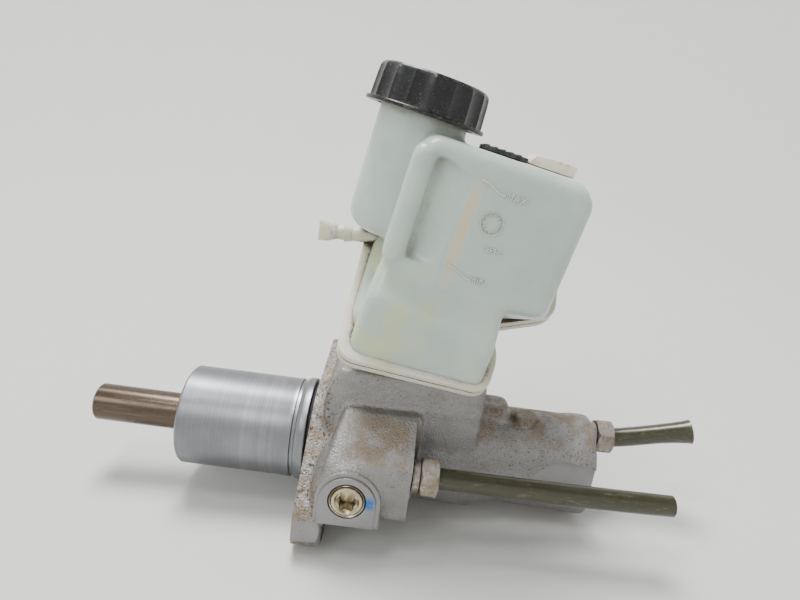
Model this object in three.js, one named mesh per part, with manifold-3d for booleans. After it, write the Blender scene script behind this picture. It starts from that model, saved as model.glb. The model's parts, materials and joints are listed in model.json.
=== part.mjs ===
// Tandem brake master cylinder with its fluid reservoir, as separate solids.
//
// Frame, in millimetres: the origin is on the bore axis at the face that bolts to the brake
// booster, +X runs along the bore to the nose, +Z is up towards the reservoir.
// Stations along the bore are counted from a datum a little behind that face, and the whole
// group is moved back by FLANGE.faceX at the end.
// The reservoir stands on the casting leaning towards the nose, so it has its own group.

import * as THREE from 'three';
import { mergeVertices } from 'three/addons/utils/BufferGeometryUtils.js';
import { ConvexGeometry } from 'three/addons/geometries/ConvexGeometry.js';
import Module from 'manifold-3d';

const wasm = await Module();
wasm.setup();

// ---------------------------------------------------------------- driving dimensions
const GAP = 0.3;                       // clearance left between faceted neighbours
const SIDES = 28;                      // facets round a turned piece
const INNER_SIDES = 18;                // facets round a small piece inside the bore

const FLANGE = {
  faceX: 3, backX: 14, hubRadius: 22.6, earRadius: 11, earReach: 38, tilt: Math.PI * 0.15, boltRadius: 4.3,
};
const SLEEVE = {
  endX: -50.5, faceX: 1.5, radius: 20.4, lipRadius: 21.3, seatRadius: 14.4, spigotRadius: 15.7, spigotX: 15,
};
const BORE = { radius: 12.1, startX: -13, endX: 105.5 };
const PISTON = { radius: 11.8, rodRadius: 7.65, tipX: -90, noseRadius: 7.5, cupInner: 7.8 };
const BARREL = { radius: 23, tailRadius: 20, shoulderX: 69, endX: 117 };
const BLOCK = { startX: 12, endX: 69, halfWidth: 21, topZ: 37 };
const PLUG = {
  x: 22.1, z: -2.4, faceY: -44, boreRadius: 5.2, headRadius: 6.6, socketFlats: 7.5, padHalf: 10.5,
};
const PORT_RADIUS = 5.2;
const SIDE_PORT = { faceX: 44, y: -34, z: 5.3 };
const NOSE_PORT = { faceX: 117, y: 4, z: 11.6 };
const NUT = { flats: 13, shankRadius: 4.9, boreRadius: 4.3, collarRadius: 5.8 };
const PIPE = { radius: 4, boreRadius: 2.5 };
const GROMMET = { seatRadius: 9.3, spigotRadius: 6, spigotBore: 4.2, lipRadius: 11, floorZ: 28.5 };
const FEED_X = [28.5, 57.5];
const LUG = { x: 43, z: 39.2, holeRadius: 1.6 };
const STOP_PIN = { x: 73.5, radius: 2.7 };

const TANK = { x: 40, z: 40, lean: THREE.MathUtils.degToRad(11), wall: 2.2, topZ: 84.3 };
const SEAM = { y: -30, z: 6.1, slope: THREE.MathUtils.degToRad(36), lip: 2.75, weldGap: 0.15 };
const NECK = { x: -25.5, radius: 16.5, bottomZ: 43, rimZ: 99.5, cornerRadius: 8 };
const CAP = {
  bottomZ: 88.6, ringTopZ: 90.3, topZ: 102.4, ringRadius: 22.5, innerRadius: 18.2,
  ridgeRadius: 20.8, fluteDepth: 0.9, flutes: 18,
};
const SPOUT = { y: 8, z: 84.3, radius: 3 };
const FLOAT = { x: 20, y: 8, radius: 8, height: 10, bottomZ: 48, stemRadius: 2.2 };

// ---------------------------------------------------------------- solids from geometries

/** Drops triangles that have two corners in one place, as at a lathe's poles. */
function withoutSlivers(index) {
  const kept = [];
  for (let i = 0; i < index.length; i += 3) {
    const [a, b, c] = [index[i], index[i + 1], index[i + 2]];
    if (a !== b && b !== c && c !== a) kept.push(a, b, c);
  }
  return kept;
}

/** Six times the signed volume that the triangles enclose. */
function signedVolume(position, index) {
  const [a, b, c] = [new THREE.Vector3(), new THREE.Vector3(), new THREE.Vector3()];
  let total = 0;
  for (let i = 0; i < index.length; i += 3) {
    a.fromBufferAttribute(position, index[i]);
    b.fromBufferAttribute(position, index[i + 1]);
    c.fromBufferAttribute(position, index[i + 2]);
    total += a.dot(b.cross(c));
  }
  return total;
}

/** Turns a closed three.js geometry into a solid that can be joined and cut. */
function solid(geometry) {
  const bare = geometry.clone();
  bare.deleteAttribute('normal');
  bare.deleteAttribute('uv');
  const merged = mergeVertices(bare, 1e-4);
  const index = withoutSlivers(merged.index.array);
  if (signedVolume(merged.attributes.position, index) < 0) index.reverse();
  return new wasm.Manifold(new wasm.Mesh({
    numProp: 3,
    vertProperties: new Float32Array(merged.attributes.position.array),
    triVerts: new Uint32Array(index),
  }));
}

/** Turns a solid back into a three.js geometry. */
function geometryOf(body) {
  const mesh = body.getMesh();
  const geometry = new THREE.BufferGeometry();
  geometry.setAttribute('position', new THREE.BufferAttribute(mesh.vertProperties.slice(), 3));
  geometry.setIndex(new THREE.BufferAttribute(mesh.triVerts.slice(), 1));
  geometry.computeVertexNormals();
  return geometry;
}

const join = (...bodies) => bodies.reduce((sum, body) => sum.add(body));
const cut = (body, ...tools) => tools.reduce((rest, tool) => rest.subtract(tool), body);

/** Moves the axes of a geometry: its x, y and z go to the three directions given. */
function turnAxes(geometry, x, y, z) {
  const [toX, toY, toZ] = [x, y, z].map((axis) => new THREE.Vector3(...axis));
  return geometry.applyMatrix4(new THREE.Matrix4().makeBasis(toX, toY, toZ));
}

/** A body of revolution about the X axis, from [x, radius] points. */
function turned(profile, sides = SIDES) {
  const points = profile.map(([x, r]) => new THREE.Vector2(r, x));
  return solid(turnAxes(new THREE.LatheGeometry(points, sides), [0, 1, 0], [1, 0, 0], [0, 0, -1]));
}

/** A body of revolution about the Z axis, from [z, radius] points, at x, y. */
function turnedUp(profile, x = 0, y = 0, sides = SIDES) {
  const points = profile.map(([z, r]) => new THREE.Vector2(r, z));
  const lathe = new THREE.LatheGeometry(points, sides);
  return solid(turnAxes(lathe, [1, 0, 0], [0, 0, 1], [0, -1, 0]).translate(x, y, 0));
}

const rodProfile = (from, to, radius) => [[from, 0], [from, radius], [to, radius], [to, 0]];
const tubeProfile = (from, to, inner, outer) => [
  [from, inner], [from, outer], [to, outer], [to, inner], [from, inner],
];

/** A round bar along X, Y or Z between two stations, centred on the other two coordinates. */
function bar(axis, from, to, radius, [u, v] = [0, 0], sides = 16, endRadius = radius) {
  const length = to - from;
  const cylinder = new THREE.CylinderGeometry(endRadius, radius, length, sides);
  cylinder.translate(0, from + length / 2, 0);
  if (axis === 'x') return solid(turnAxes(cylinder, [0, 1, 0], [1, 0, 0], [0, 0, -1]).translate(0, u, v));
  if (axis === 'y') return solid(cylinder.translate(u, 0, v));
  return solid(turnAxes(cylinder, [1, 0, 0], [0, 0, 1], [0, -1, 0]).translate(u, v, 0));
}

/** A box between two corners. */
function box([x0, y0, z0], [x1, y1, z1]) {
  const geometry = new THREE.BoxGeometry(x1 - x0, y1 - y0, z1 - z0);
  return solid(geometry.translate((x0 + x1) / 2, (y0 + y1) / 2, (z0 + z1) / 2));
}

/** The convex body that wraps round balls of one radius: a block with rounded edges. */
function wrapped(centres, radius) {
  const ball = new THREE.OctahedronGeometry(radius, 1).attributes.position;
  const points = [];
  for (const centre of centres) {
    for (let i = 0; i < ball.count; i++) {
      points.push(new THREE.Vector3().fromBufferAttribute(ball, i).add(new THREE.Vector3(...centre)));
    }
  }
  return solid(new ConvexGeometry(points));
}

/** A flat outline given in Y and Z, thickened along X between two stations. */
function plateX(shape, from, to, curveSegments = 12) {
  const geometry = new THREE.ExtrudeGeometry(shape, { depth: to - from, bevelEnabled: false, curveSegments });
  return solid(turnAxes(geometry, [0, 1, 0], [0, 0, 1], [1, 0, 0]).translate(from, 0, 0));
}

/** A flat outline given in X and Y, thickened upwards between two heights. */
function plateZ(shape, from, to, curveSegments = 12) {
  const geometry = new THREE.ExtrudeGeometry(shape, { depth: to - from, bevelEnabled: false, curveSegments });
  return solid(geometry.translate(0, 0, from));
}

/** A polygon whose corners are rounded, from [u, v, radius] points. */
function roundedOutline(corners) {
  const shape = new THREE.Shape();
  const count = corners.length;
  corners.forEach(([u, v, radius], i) => {
    const corner = new THREE.Vector2(u, v);
    const before = new THREE.Vector2(...corners[(i + count - 1) % count]).sub(corner);
    const after = new THREE.Vector2(...corners[(i + 1) % count]).sub(corner);
    const start = before.setLength(radius).add(corner);
    const end = after.setLength(radius).add(corner);
    if (i === 0) shape.moveTo(start.x, start.y);
    else shape.lineTo(start.x, start.y);
    shape.quadraticCurveTo(u, v, end.x, end.y);
  });
  shape.closePath();
  return shape;
}

/** A regular outline with flat sides, its width across flats given. */
function flatsOutline(flats, sides = 6, turn = 0) {
  const radius = flats / 2 / Math.cos(Math.PI / sides);
  const points = [];
  for (let i = 0; i < sides; i++) {
    const angle = turn + (2 * Math.PI * i) / sides;
    points.push(new THREE.Vector2(radius * Math.cos(angle), radius * Math.sin(angle)));
  }
  return new THREE.Shape(points);
}

/** A round wire or tube along a curve. */
function sweep(curve, radius, steps, sides, boreRadius = 0) {
  const shape = new THREE.Shape().absarc(0, 0, radius, 0, 2 * Math.PI, false);
  if (boreRadius > 0) shape.holes.push(new THREE.Path().absarc(0, 0, boreRadius, 0, 2 * Math.PI, true));
  const options = { steps, curveSegments: sides, bevelEnabled: false, extrudePath: curve };
  return solid(new THREE.ExtrudeGeometry(shape, options));
}

// ---------------------------------------------------------------- materials and the scene graph

function paint(color, roughness, metalness) {
  return new THREE.MeshStandardMaterial({ color, roughness, metalness });
}

const MATERIALS = {
  cast: paint(0xa7a39b, 0.62, 0.9),
  turned: paint(0xb4b5b6, 0.34, 1),
  bronze: paint(0x7a6350, 0.3, 1),
  steel: paint(0x9c9a90, 0.38, 1),
  zinc: paint(0xb3a894, 0.42, 0.9),
  pipe: paint(0x5a5742, 0.38, 0.4),
  rubber: paint(0x17181a, 0.75, 0),
  bush: paint(0x2b2d30, 0.5, 0),
  tank: paint(0xc9d2c6, 0.45, 0),
  cap: paint(0x191a1c, 0.32, 0),
  connector: paint(0xe7e2d6, 0.45, 0),
  brass: paint(0xb08d4a, 0.35, 1),
  foam: paint(0x8b6b45, 0.7, 0),
};

/** Adds one named sub-part to a group. */
function addPart(group, name, body, material) {
  const mesh = new THREE.Mesh(geometryOf(body), material);
  mesh.name = name;
  group.add(mesh);
}

// ---------------------------------------------------------------- the casting

/** The two-eared mounting flange, its ears on a line tilted from the horizontal. */
function flangeBody() {
  const { faceX, backX } = FLANGE;
  const [faceEdge, backEdge] = [0.4, 1.5];
  const farEar = [Math.cos(FLANGE.tilt) * FLANGE.earReach, Math.sin(FLANGE.tilt) * FLANGE.earReach];
  const nearEar = [-farEar[0], -farEar[1]];
  const circles = [[0, 0, FLANGE.hubRadius], [...farEar, FLANGE.earRadius], [...nearEar, FLANGE.earRadius]];
  const rim = [[faceX, faceEdge], [faceX + faceEdge, 0], [backX - backEdge, 0], [backX, backEdge]];
  const points = [];
  for (const [y, z, radius] of circles) {
    for (let i = 0; i < 24; i++) {
      const angle = (2 * Math.PI * i) / 24;
      const [dy, dz] = [Math.cos(angle), Math.sin(angle)];
      for (const [x, drawnIn] of rim) {
        points.push(new THREE.Vector3(x, y + dy * (radius - drawnIn), z + dz * (radius - drawnIn)));
      }
    }
  }
  const plate = solid(new ConvexGeometry(points));
  const holes = [farEar, nearEar].map((at) => bar('x', faceX - 1, backX + 8, FLANGE.boltRadius, at));
  return { plate, holes };
}

/** The barrel, its shoulder and the tapered tail with the rib and the vent boss on top. */
function barrelBody() {
  const { radius, tailRadius, shoulderX, endX } = BARREL;
  const bell = tailRadius + 0.5;
  const barrel = turned([
    [6, 0], [6, radius], [shoulderX, radius], [shoulderX + 9, tailRadius], [endX - 10, tailRadius],
    [endX - 3, bell], [endX - 1, bell], [endX, tailRadius - 0.5], [endX, 0],
  ]);
  const rib = wrapped([
    [66, -6, 20], [66, 6, 20], [79.5, -5, 20], [79.5, 5, 20], [66, 0, 8], [82, 0, 8],
  ], 3.5);
  const boss = bar('z', 8, 22.6, 5, [89, -5], 20, 4.4);
  return join(barrel, rib, boss);
}

/** The square block under the reservoir, blended down to the barrel and the flange. */
function blockBody() {
  const { startX, endX, halfWidth, topZ } = BLOCK;
  const r = 2;
  const corners = [];
  for (const y of [-halfWidth + r, halfWidth - r]) {
    corners.push([startX + r - 4, y, topZ - r - 9], [startX + r, y, topZ - r], [endX - r, y, topZ - r]);
    corners.push([startX + r - 4, y, 0], [endX - r, y, 0]);
  }
  return wrapped(corners, r);
}

/** The boss on the near side that holds the plug and the side outlet. */
function sideBossBody() {
  const r = 2;
  const lump = wrapped([
    [14, -37, -10.4], [SIDE_PORT.faceX - r, -37, -10.4], [14, -38.5, 8], [SIDE_PORT.faceX - r, -40, 11],
    [18, -24, 22], [SIDE_PORT.faceX - r, -24, 22.5], [14, -10, -10.4], [SIDE_PORT.faceX - r, -10, -10.4],
    [18, -10, 22], [SIDE_PORT.faceX - r, -10, 22.5],
  ], r);
  const drum = bar('y', -42.6, -18, 12.4, [PLUG.x, PLUG.z - 1], 32, 17);
  const half = PLUG.padHalf;
  const pad = new THREE.Shape().moveTo(-half, -half).lineTo(half, -half);
  pad.absarc(0, -1.4, half, 0, Math.PI, false);
  const block = new THREE.ExtrudeGeometry(pad, { depth: 24, bevelEnabled: false, curveSegments: 12 });
  turnAxes(block, [1, 0, 0], [0, 0, 1], [0, 1, 0]).translate(PLUG.x, PLUG.faceY, PLUG.z);
  const below = box([0, -60, -40], [60, 0, PLUG.z - half]);
  return cut(join(lump, drum, solid(block)), below);
}

/** The main bore with its spigot seat, the feed holes from the reservoir and the stop pin's hole. */
function mainDrillings() {
  const { radius, endX } = BORE;
  const bore = turned([[14, 0], [14, radius], [endX - 1.5, radius], [endX, radius - 2], [endX, 0]]);
  const spigotSeat = turned(rodProfile(FLANGE.faceX - 1, SLEEVE.spigotX + GAP, SLEEVE.spigotRadius + GAP));
  const lipSeat = turned(rodProfile(FLANGE.faceX - 1, FLANGE.faceX + 0.5, SLEEVE.lipRadius + GAP));
  const { seatRadius, floorZ } = GROMMET;
  const seats = FEED_X.map((feed) => bar('z', floorZ, BLOCK.topZ + 1, seatRadius, [feed, 0], 20));
  const feeds = FEED_X.map((feed) => bar('z', 11, floorZ + 1, 2, [feed, 0], 12));
  const pinHole = bar('z', 10, 26, STOP_PIN.radius + GAP, [STOP_PIN.x, 0]);
  return [bore, spigotSeat, lipSeat, ...seats, ...feeds, pinHole];
}

/** The plug's hole and the two outlet ports, with the small drillings that feed them. */
function portDrillings() {
  const { x, z, faceY } = PLUG;
  const plugBore = bar('y', faceY - 2, -29, PLUG.boreRadius, [x, z]);
  const plugSeat = bar('y', faceY - 2, faceY + 3.6, 7, [x, z]);
  const crossDrill = bar('y', -30, -11, 2.5, [x, z], 12);
  const side = [SIDE_PORT.y, SIDE_PORT.z];
  const sidePort = bar('x', 31, SIDE_PORT.faceX + 2, PORT_RADIUS, side);
  const sideDrill = bar('x', 20, 32, 3, side, 12);
  const nosePort = bar('x', 109, NOSE_PORT.faceX + 2, PORT_RADIUS, [NOSE_PORT.y, NOSE_PORT.z]);
  const noseDrill = bar('x', 103, 110, 2.5, [NOSE_PORT.y, NOSE_PORT.z - 3], 12);
  return [plugBore, plugSeat, crossDrill, sidePort, sideDrill, nosePort, noseDrill];
}

/** The lug between the feed holes that the reservoir is pinned to. */
function pinLug() {
  const centres = [];
  for (const x of [LUG.x - 2.1, LUG.x + 2.1]) {
    for (const y of [-3, 3]) centres.push([x, y, BLOCK.topZ - 7], [x, y, LUG.z + 1.1]);
  }
  const lug = wrapped(centres, 1);
  return cut(lug, bar('y', -6, 6, LUG.holeRadius, [LUG.x, LUG.z], 12));
}

function cylinderBody() {
  const { plate, holes } = flangeBody();
  const rough = join(plate, barrelBody(), blockBody(), sideBossBody());
  return cut(join(rough, pinLug()), ...mainDrillings(), ...portDrillings(), ...holes);
}

// ---------------------------------------------------------------- sleeve, guide and seals

/** The sleeve that enters the booster, with a groove and a lip, and a spigot into the casting. */
function boosterSleeve() {
  const { endX, faceX, radius, lipRadius, seatRadius, spigotRadius, spigotX } = SLEEVE;
  const groove = radius - 0.5;
  return turned([
    [endX, seatRadius], [endX, radius - 1], [endX + 1, radius], [faceX - 6, radius], [faceX - 5.4, groove],
    [faceX - 4.6, groove], [faceX - 3.8, lipRadius], [faceX, lipRadius], [faceX, spigotRadius],
    [spigotX, spigotRadius], [spigotX, BORE.radius], [BORE.startX, BORE.radius], [BORE.startX, seatRadius],
    [endX, seatRadius],
  ]);
}

const flangeSeal = () => turned(tubeProfile(SLEEVE.faceX + GAP, FLANGE.faceX - GAP, 16.1, 19.9));
function guideBush() {
  const tube = tubeProfile(-41.7, BORE.startX - GAP, PISTON.rodRadius + GAP, SLEEVE.seatRadius - GAP);
  return turned(tube, INNER_SIDES);
}

/** The seal round the rod, its lips facing the bore. */
function rodSeal() {
  const [heel, lip] = [-46, -42];
  const outer = SLEEVE.seatRadius - GAP;
  return turned([
    [heel, 8], [heel, outer], [lip, outer], [lip, 12], [lip - 2, 11], [lip - 2, 9.5], [lip, 8.6], [lip, 8],
    [heel, 8],
  ], INNER_SIDES);
}

const sealWasher = () => turned(tubeProfile(-47.8, -46.3, 8.2, SLEEVE.seatRadius - GAP), INNER_SIDES);

/** A snap ring with a gap at the bottom. */
function retainingCirclip() {
  const open = 0.35;
  const shape = new THREE.Shape();
  shape.absarc(0, 0, SLEEVE.seatRadius - GAP, -Math.PI / 2 + open, 1.5 * Math.PI - open, false);
  shape.absarc(0, 0, 11.2, 1.5 * Math.PI - open, -Math.PI / 2 + open, true);
  return plateX(shape, -49.5, -48.1, 10);
}

// ---------------------------------------------------------------- pistons and springs

/** The rear piston, whose long rod the booster pushes; its tip is hollowed for the push rod. */
function primaryPiston() {
  const { radius, rodRadius, tipX, noseRadius } = PISTON;
  return turned([
    [tipX + 12, 0], [tipX + 10, 4.5], [tipX + 1, 4.5], [tipX, 5.5], [tipX, rodRadius - 0.8],
    [tipX + 0.8, rodRadius], [-12.7, rodRadius], [-12.7, radius - 0.6], [-12.1, radius], [7.4, radius],
    [8, radius - 0.6], [8, noseRadius], [14.5, noseRadius], [15, noseRadius - 0.5], [15, 0],
  ], 24);
}

/** The floating piston between the two circuits, slotted for the stop pin. */
function secondaryPiston() {
  const { radius, noseRadius } = PISTON;
  const blank = turned([
    [44, 0], [44, radius - 0.5], [44.5, radius], [46, radius], [46, 8.5], [50.6, 8.5], [50.6, radius],
    [77.5, radius], [78, radius - 0.5], [78, noseRadius], [85.5, noseRadius], [86, noseRadius - 0.5], [86, 0],
  ], 24);
  const slot = roundedOutline([[57.5, -3.2, 3], [76.7, -3.2, 3], [76.7, 3.2, 3], [57.5, 3.2, 3]]);
  return cut(blank, plateZ(slot, -20, 20, 4));
}

/** A lip cup: a rubber ring with its open side facing forward (+1) or back (-1). */
function lipCup(from, to, inner, facing) {
  const [heel, lip] = facing > 0 ? [from, to] : [to, from];
  const outer = PISTON.radius;
  const groove = heel + (lip - heel) * 0.45;
  const middle = (inner + outer) / 2;
  return turned([
    [heel, inner], [heel, outer - 0.3], [lip, outer], [lip, middle + 0.8], [groove, middle],
    [lip, middle - 0.8], [lip, inner], [heel, inner],
  ], INNER_SIDES);
}

const cupWasher = (from) => turned(tubeProfile(from, from + 1, PISTON.cupInner, 10.8), INNER_SIDES);

/** A compression spring along the bore. */
class SpringCurve extends THREE.Curve {
  constructor(from, to, radius, turns) {
    super();
    Object.assign(this, { from, to, radius, turns });
  }

  getPoint(t, target = new THREE.Vector3()) {
    const angle = 2 * Math.PI * this.turns * t;
    const along = this.from + (this.to - this.from) * t;
    return target.set(along, this.radius * Math.cos(angle), this.radius * Math.sin(angle));
  }
}

function spring(from, to, turns) {
  const wire = 0.8;
  return sweep(new SpringCurve(from + wire, to - wire, 9.3, turns), wire, turns * 10, 2);
}

/** The pin through the front piston's slot that stops its return. */
const stopPin = () => turnedUp(rodProfile(-9, 23.4, STOP_PIN.radius), STOP_PIN.x, 0, 20);

// ---------------------------------------------------------------- plug, nuts and pipes

function plugScrew() {
  const { x, z, faceY, headRadius, socketFlats } = PLUG;
  const head = bar('y', faceY - 0.5, faceY + 2.2, headRadius, [x, z], 20);
  const shank = bar('y', faceY + 2, -31, NUT.shankRadius, [x, z]);
  const hex = new THREE.ExtrudeGeometry(flatsOutline(socketFlats), { depth: 7, bevelEnabled: false });
  const socket = solid(turnAxes(hex, [1, 0, 0], [0, 0, 1], [0, 1, 0]).translate(x, faceY - 1, z));
  return cut(join(head, shank), socket);
}

/** The copper sealing ring under the plug's head. */
function plugWasher() {
  const { x, z, faceY, headRadius, boreRadius } = PLUG;
  const ring = (radius, reach) => bar('y', faceY + 2.5 - reach, faceY + 3.3 + reach, radius, [x, z], 20);
  return cut(ring(headRadius, 0), ring(boreRadius, 1));
}

/** A flare nut: threaded shank in the port, a collar and a hexagon outside it. */
function flareNut(port, shankStart, hexStart, hexEnd) {
  const at = [port.y, port.z];
  const shank = bar('x', shankStart, hexStart, NUT.shankRadius, at);
  const collar = bar('x', port.faceX + GAP, hexStart + 0.5, NUT.collarRadius, at);
  const head = plateX(flatsOutline(NUT.flats, 6, Math.PI / 6), hexStart, hexEnd).translate([0, ...at]);
  return cut(join(shank, collar, head), bar('x', shankStart - 1, hexEnd + 1, NUT.boreRadius, at));
}

/** A brake pipe from its port, through points given as [x, aside, up] from the port's axis. */
function pipeFrom(port, route, steps) {
  const points = route.map(([x, aside, up]) => new THREE.Vector3(x, port.y + aside, port.z + up));
  return sweep(new THREE.CatmullRomCurve3(points), PIPE.radius, steps, 5, PIPE.boreRadius);
}

const sideBrakePipe = () => pipeFrom(SIDE_PORT, [
  [32, 0, 0], [46, 0, 0], [60, 0, 0], [85, -0.2, 0.2], [112, -0.3, 0.6], [141, -0.5, 1.4],
], 7);

const noseBrakePipe = () => pipeFrom(NOSE_PORT, [
  [110.5, 0, 0], [120, 0, 0], [129, 0, 0.2], [138, -0.3, 2.2], [149, -1, 5.4], [161, -2, 8.6],
], 9);

// ---------------------------------------------------------------- reservoir

const tankMatrix = new THREE.Matrix4().makeRotationY(TANK.lean).setPosition(TANK.x, 0, TANK.z);
const intoTank = tankMatrix.clone().invert();
const tankPoint = (x, y, z) => new THREE.Vector3(x, y, z).applyMatrix4(intoTank).toArray();

/** Moves a solid made in the main frame into the reservoir's own frame. */
function carriedIntoTank(body) {
  return solid(geometryOf(body).applyMatrix4(intoTank));
}

/** The reservoir's filled shape, drawn in by the amount given: outer skin at 0, cavity at the wall. */
function tankForm(inset) {
  const main = wrapped([
    [-18, -22, 78.3], [30.5, -22, 78.3], [32.5, -22, 76.3], [32, -22, 41], [-18, -22, 34],
    [-20, 18, 78.3], [38.5, 18, 78.3], [40.5, 18, 76.3], [40.5, 18, 40], [-20, 18, 30],
  ], 6 - inset);
  const base = wrapped([
    [-23.5, -20, 15], [-24, 10, 40], [-24, 17, 41], [-23.5, 17, 24], [-23.5, -20, 8],
    [39, 17, 41], [17, -17, 18], [17, 0, 10], [20, -20, 30], [39, 2, 38],
  ], 5.5 - inset);
  const chamber = wrapped([
    [-19, -27.5, 24.5], [16.5, -27.5, 21], [-19, -20, 35], [16.5, -20, 31],
    [-20, -27.5, 6], [17, -26, 10], [-20, -15, 6], [17, -15, 10],
  ], 6.5 - inset);
  const tray = wrapped([
    tankPoint(24, -21, 47), tankPoint(60, -21, 47), tankPoint(24, 14, 47), tankPoint(60, 14, 47),
    [-20, -15, 15], [16, -15, 15], [-20, 15, 34], [30, 15, 36],
  ], 5 - inset);
  const rib = wrapped([[-22.3, -25.8, 45], [-22.3, -25.8, 76], [-21, -20, 45], [-21, -20, 76]], 4.2 - inset);
  return join(main, base, chamber, tray, rib, neckForm(inset));
}

/** The filler column beside the tank, ending in the neck that the cap screws on. */
function neckForm(inset) {
  const { x, radius, bottomZ, rimZ, cornerRadius } = NECK;
  const corner = cornerRadius - inset;
  const profile = [[bottomZ + inset, 0]];
  for (let i = 0; i <= 5; i++) {
    const angle = (i / 5) * (Math.PI / 2);
    const z = bottomZ + cornerRadius - corner * Math.cos(angle);
    profile.push([z, radius - cornerRadius + corner * Math.sin(angle)]);
  }
  const top = inset > 0 ? rimZ + 3 : rimZ;
  profile.push([top, radius - inset], [top, 0]);
  return turnedUp(profile, x, 0, 24);
}

/** The weld flange's outline in the seam plane. */
function seamOutline() {
  return roundedOutline([
    [-29.5, -7, 8], [25.5, -2.8, 6], [28, 14, 6], [23.2, 26.5, 3],
    [49, 41, 7], [50, 67.5, 8], [-34.5, 67.5, 8],
  ]);
}

/** Places a plate drawn flat at the seam: x stays, y runs up the slope, z is its normal. */
function ontoSeam(geometry) {
  return geometry.rotateX(SEAM.slope).translate(0, SEAM.y, SEAM.z);
}

function seamPlate(from, to) {
  const options = { depth: to - from, bevelEnabled: false, curveSegments: 6 };
  const plate = new THREE.ExtrudeGeometry(seamOutline(), options);
  return solid(ontoSeam(plate.translate(0, 0, from)));
}

/** The half space above or below the seam, as a large block. */
function seamSide(from, to) {
  const block = new THREE.BoxGeometry(300, 400, to - from).translate(0, 0, (from + to) / 2);
  return solid(ontoSeam(block));
}

/** The closed bleed nozzle, pinched flat at its tip. */
function spout() {
  const { y, z, radius } = SPOUT;
  const stem = bar('x', 1.5, 22, radius, [y, z], 10);
  const barb = bar('x', 6.2, 9.4, radius + 0.1, [y, z], 10, radius + 0.7);
  const pinch = [];
  for (const side of [-1, 1]) {
    for (let i = 0; i < 8; i++) {
      const angle = (2 * Math.PI * i) / 8;
      pinch.push(new THREE.Vector3(3.5, y + radius * Math.cos(angle), z + radius * Math.sin(angle)));
    }
    for (const x of [-0.6, -4.2]) {
      pinch.push(new THREE.Vector3(x, y + 0.8, z + side * 4.2));
      pinch.push(new THREE.Vector3(x, y - 0.8, z + side * 4.2));
    }
  }
  return carriedIntoTank(join(stem, barb, solid(new ConvexGeometry(pinch))));
}

function reservoirUpperShell(outer, cavity) {
  const half = outer.intersect(seamSide(SEAM.weldGap, 200));
  const skin = join(half, seamPlate(SEAM.weldGap, SEAM.lip), spout());
  const drain = carriedIntoTank(bar('x', 2.5, 24, 1.4, [SPOUT.y, SPOUT.z], 6));
  const stemHole = bar('z', 70, 95, FLOAT.stemRadius + GAP, [FLOAT.x, FLOAT.y]);
  const baffle = box([-2.4, -27, 40], [-0.6, 12, 77]);
  return join(cut(skin, cavity, drain, stemHole), baffle);
}

function reservoirLowerShell(outer, cavity) {
  const half = outer.intersect(seamSide(-200, -SEAM.weldGap));
  const tray = cut(join(half, seamPlate(-SEAM.lip, -SEAM.weldGap)), cavity);
  const { spigotRadius, spigotBore } = GROMMET;
  const tabBottomZ = BLOCK.topZ + 0.4;
  const spigots = FEED_X.map((x) => turnedUp(rodProfile(30, 44.5, spigotRadius), x, 0, 20));
  const bores = FEED_X.map((x) => turnedUp(rodProfile(29, 48, spigotBore), x, 0, 12));
  const tabs = [-6.4, 4.4].map((y) => box([LUG.x - 3, y, tabBottomZ], [LUG.x + 3, y + 2, 43.5]));
  const pinHole = bar('y', -9, 9, LUG.holeRadius, [LUG.x, LUG.z], 12);
  const feet = [...spigots, ...tabs].map(carriedIntoTank);
  return cut(join(tray, ...feet), ...[...bores, pinHole].map(carriedIntoTank));
}

function grommet(x) {
  const { seatRadius, spigotRadius, lipRadius, floorZ } = GROMMET;
  const inner = spigotRadius + GAP;
  const outer = seatRadius - GAP;
  const top = BLOCK.topZ + GAP;
  return turnedUp([
    [floorZ + GAP, inner], [floorZ + GAP, outer - 0.6], [floorZ + 0.9, outer], [top, outer], [top, lipRadius],
    [top + 1.4, lipRadius], [top + 1.8, lipRadius - 0.5], [top + 1.8, inner], [floorZ + GAP, inner],
  ], x, 0, 20);
}

const reservoirPin = () => bar('y', -8, 8, LUG.holeRadius - GAP, [LUG.x, LUG.z], 12);

/** The strainer basket that hangs in the neck, open at the bottom but for a cross. */
function fillerStrainer() {
  const { x, radius } = NECK;
  const outer = radius - TANK.wall - 0.5;
  const inner = outer - 1.1;
  const [footZ, waistZ, topZ] = [62, 90, 92.5];
  const basket = turnedUp([
    [footZ, inner - 2], [footZ, outer - 2], [waistZ, outer], [topZ, outer], [topZ, inner], [waistZ, inner],
    [footZ, inner - 2],
  ], x, 0, 20);
  const reach = outer - 2.4;
  const along = box([x - reach, -0.6, footZ], [x + reach, 0.6, footZ + 1.6]);
  const across = box([x - 0.6, -reach, footZ], [x + 0.6, reach, footZ + 1.6]);
  return join(basket, along, across);
}

/** The screw cap, fluted for the hand, hollow below. */
function capShell() {
  const { bottomZ, ringTopZ, topZ, ringRadius, ridgeRadius, fluteDepth, flutes, innerRadius } = CAP;
  const outline = [];
  for (let i = 0; i < flutes * 2; i++) {
    const angle = (Math.PI * i) / flutes;
    const radius = ridgeRadius - (i % 2) * fluteDepth;
    outline.push(new THREE.Vector2(radius * Math.cos(angle), radius * Math.sin(angle)));
  }
  const grip = plateZ(new THREE.Shape(outline), ringTopZ - 0.5, topZ);
  const ring = turnedUp(rodProfile(bottomZ, ringTopZ, ringRadius), 0, 0, 36);
  const hollow = turnedUp(rodProfile(bottomZ - 1, topZ - 1.5, innerRadius), 0, 0, 32);
  const dish = turnedUp(rodProfile(topZ - 0.5, topZ + 1, 17.5), 0, 0, 32);
  return cut(join(grip, ring), hollow, dish).translate([NECK.x, 0, 0]);
}

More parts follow.
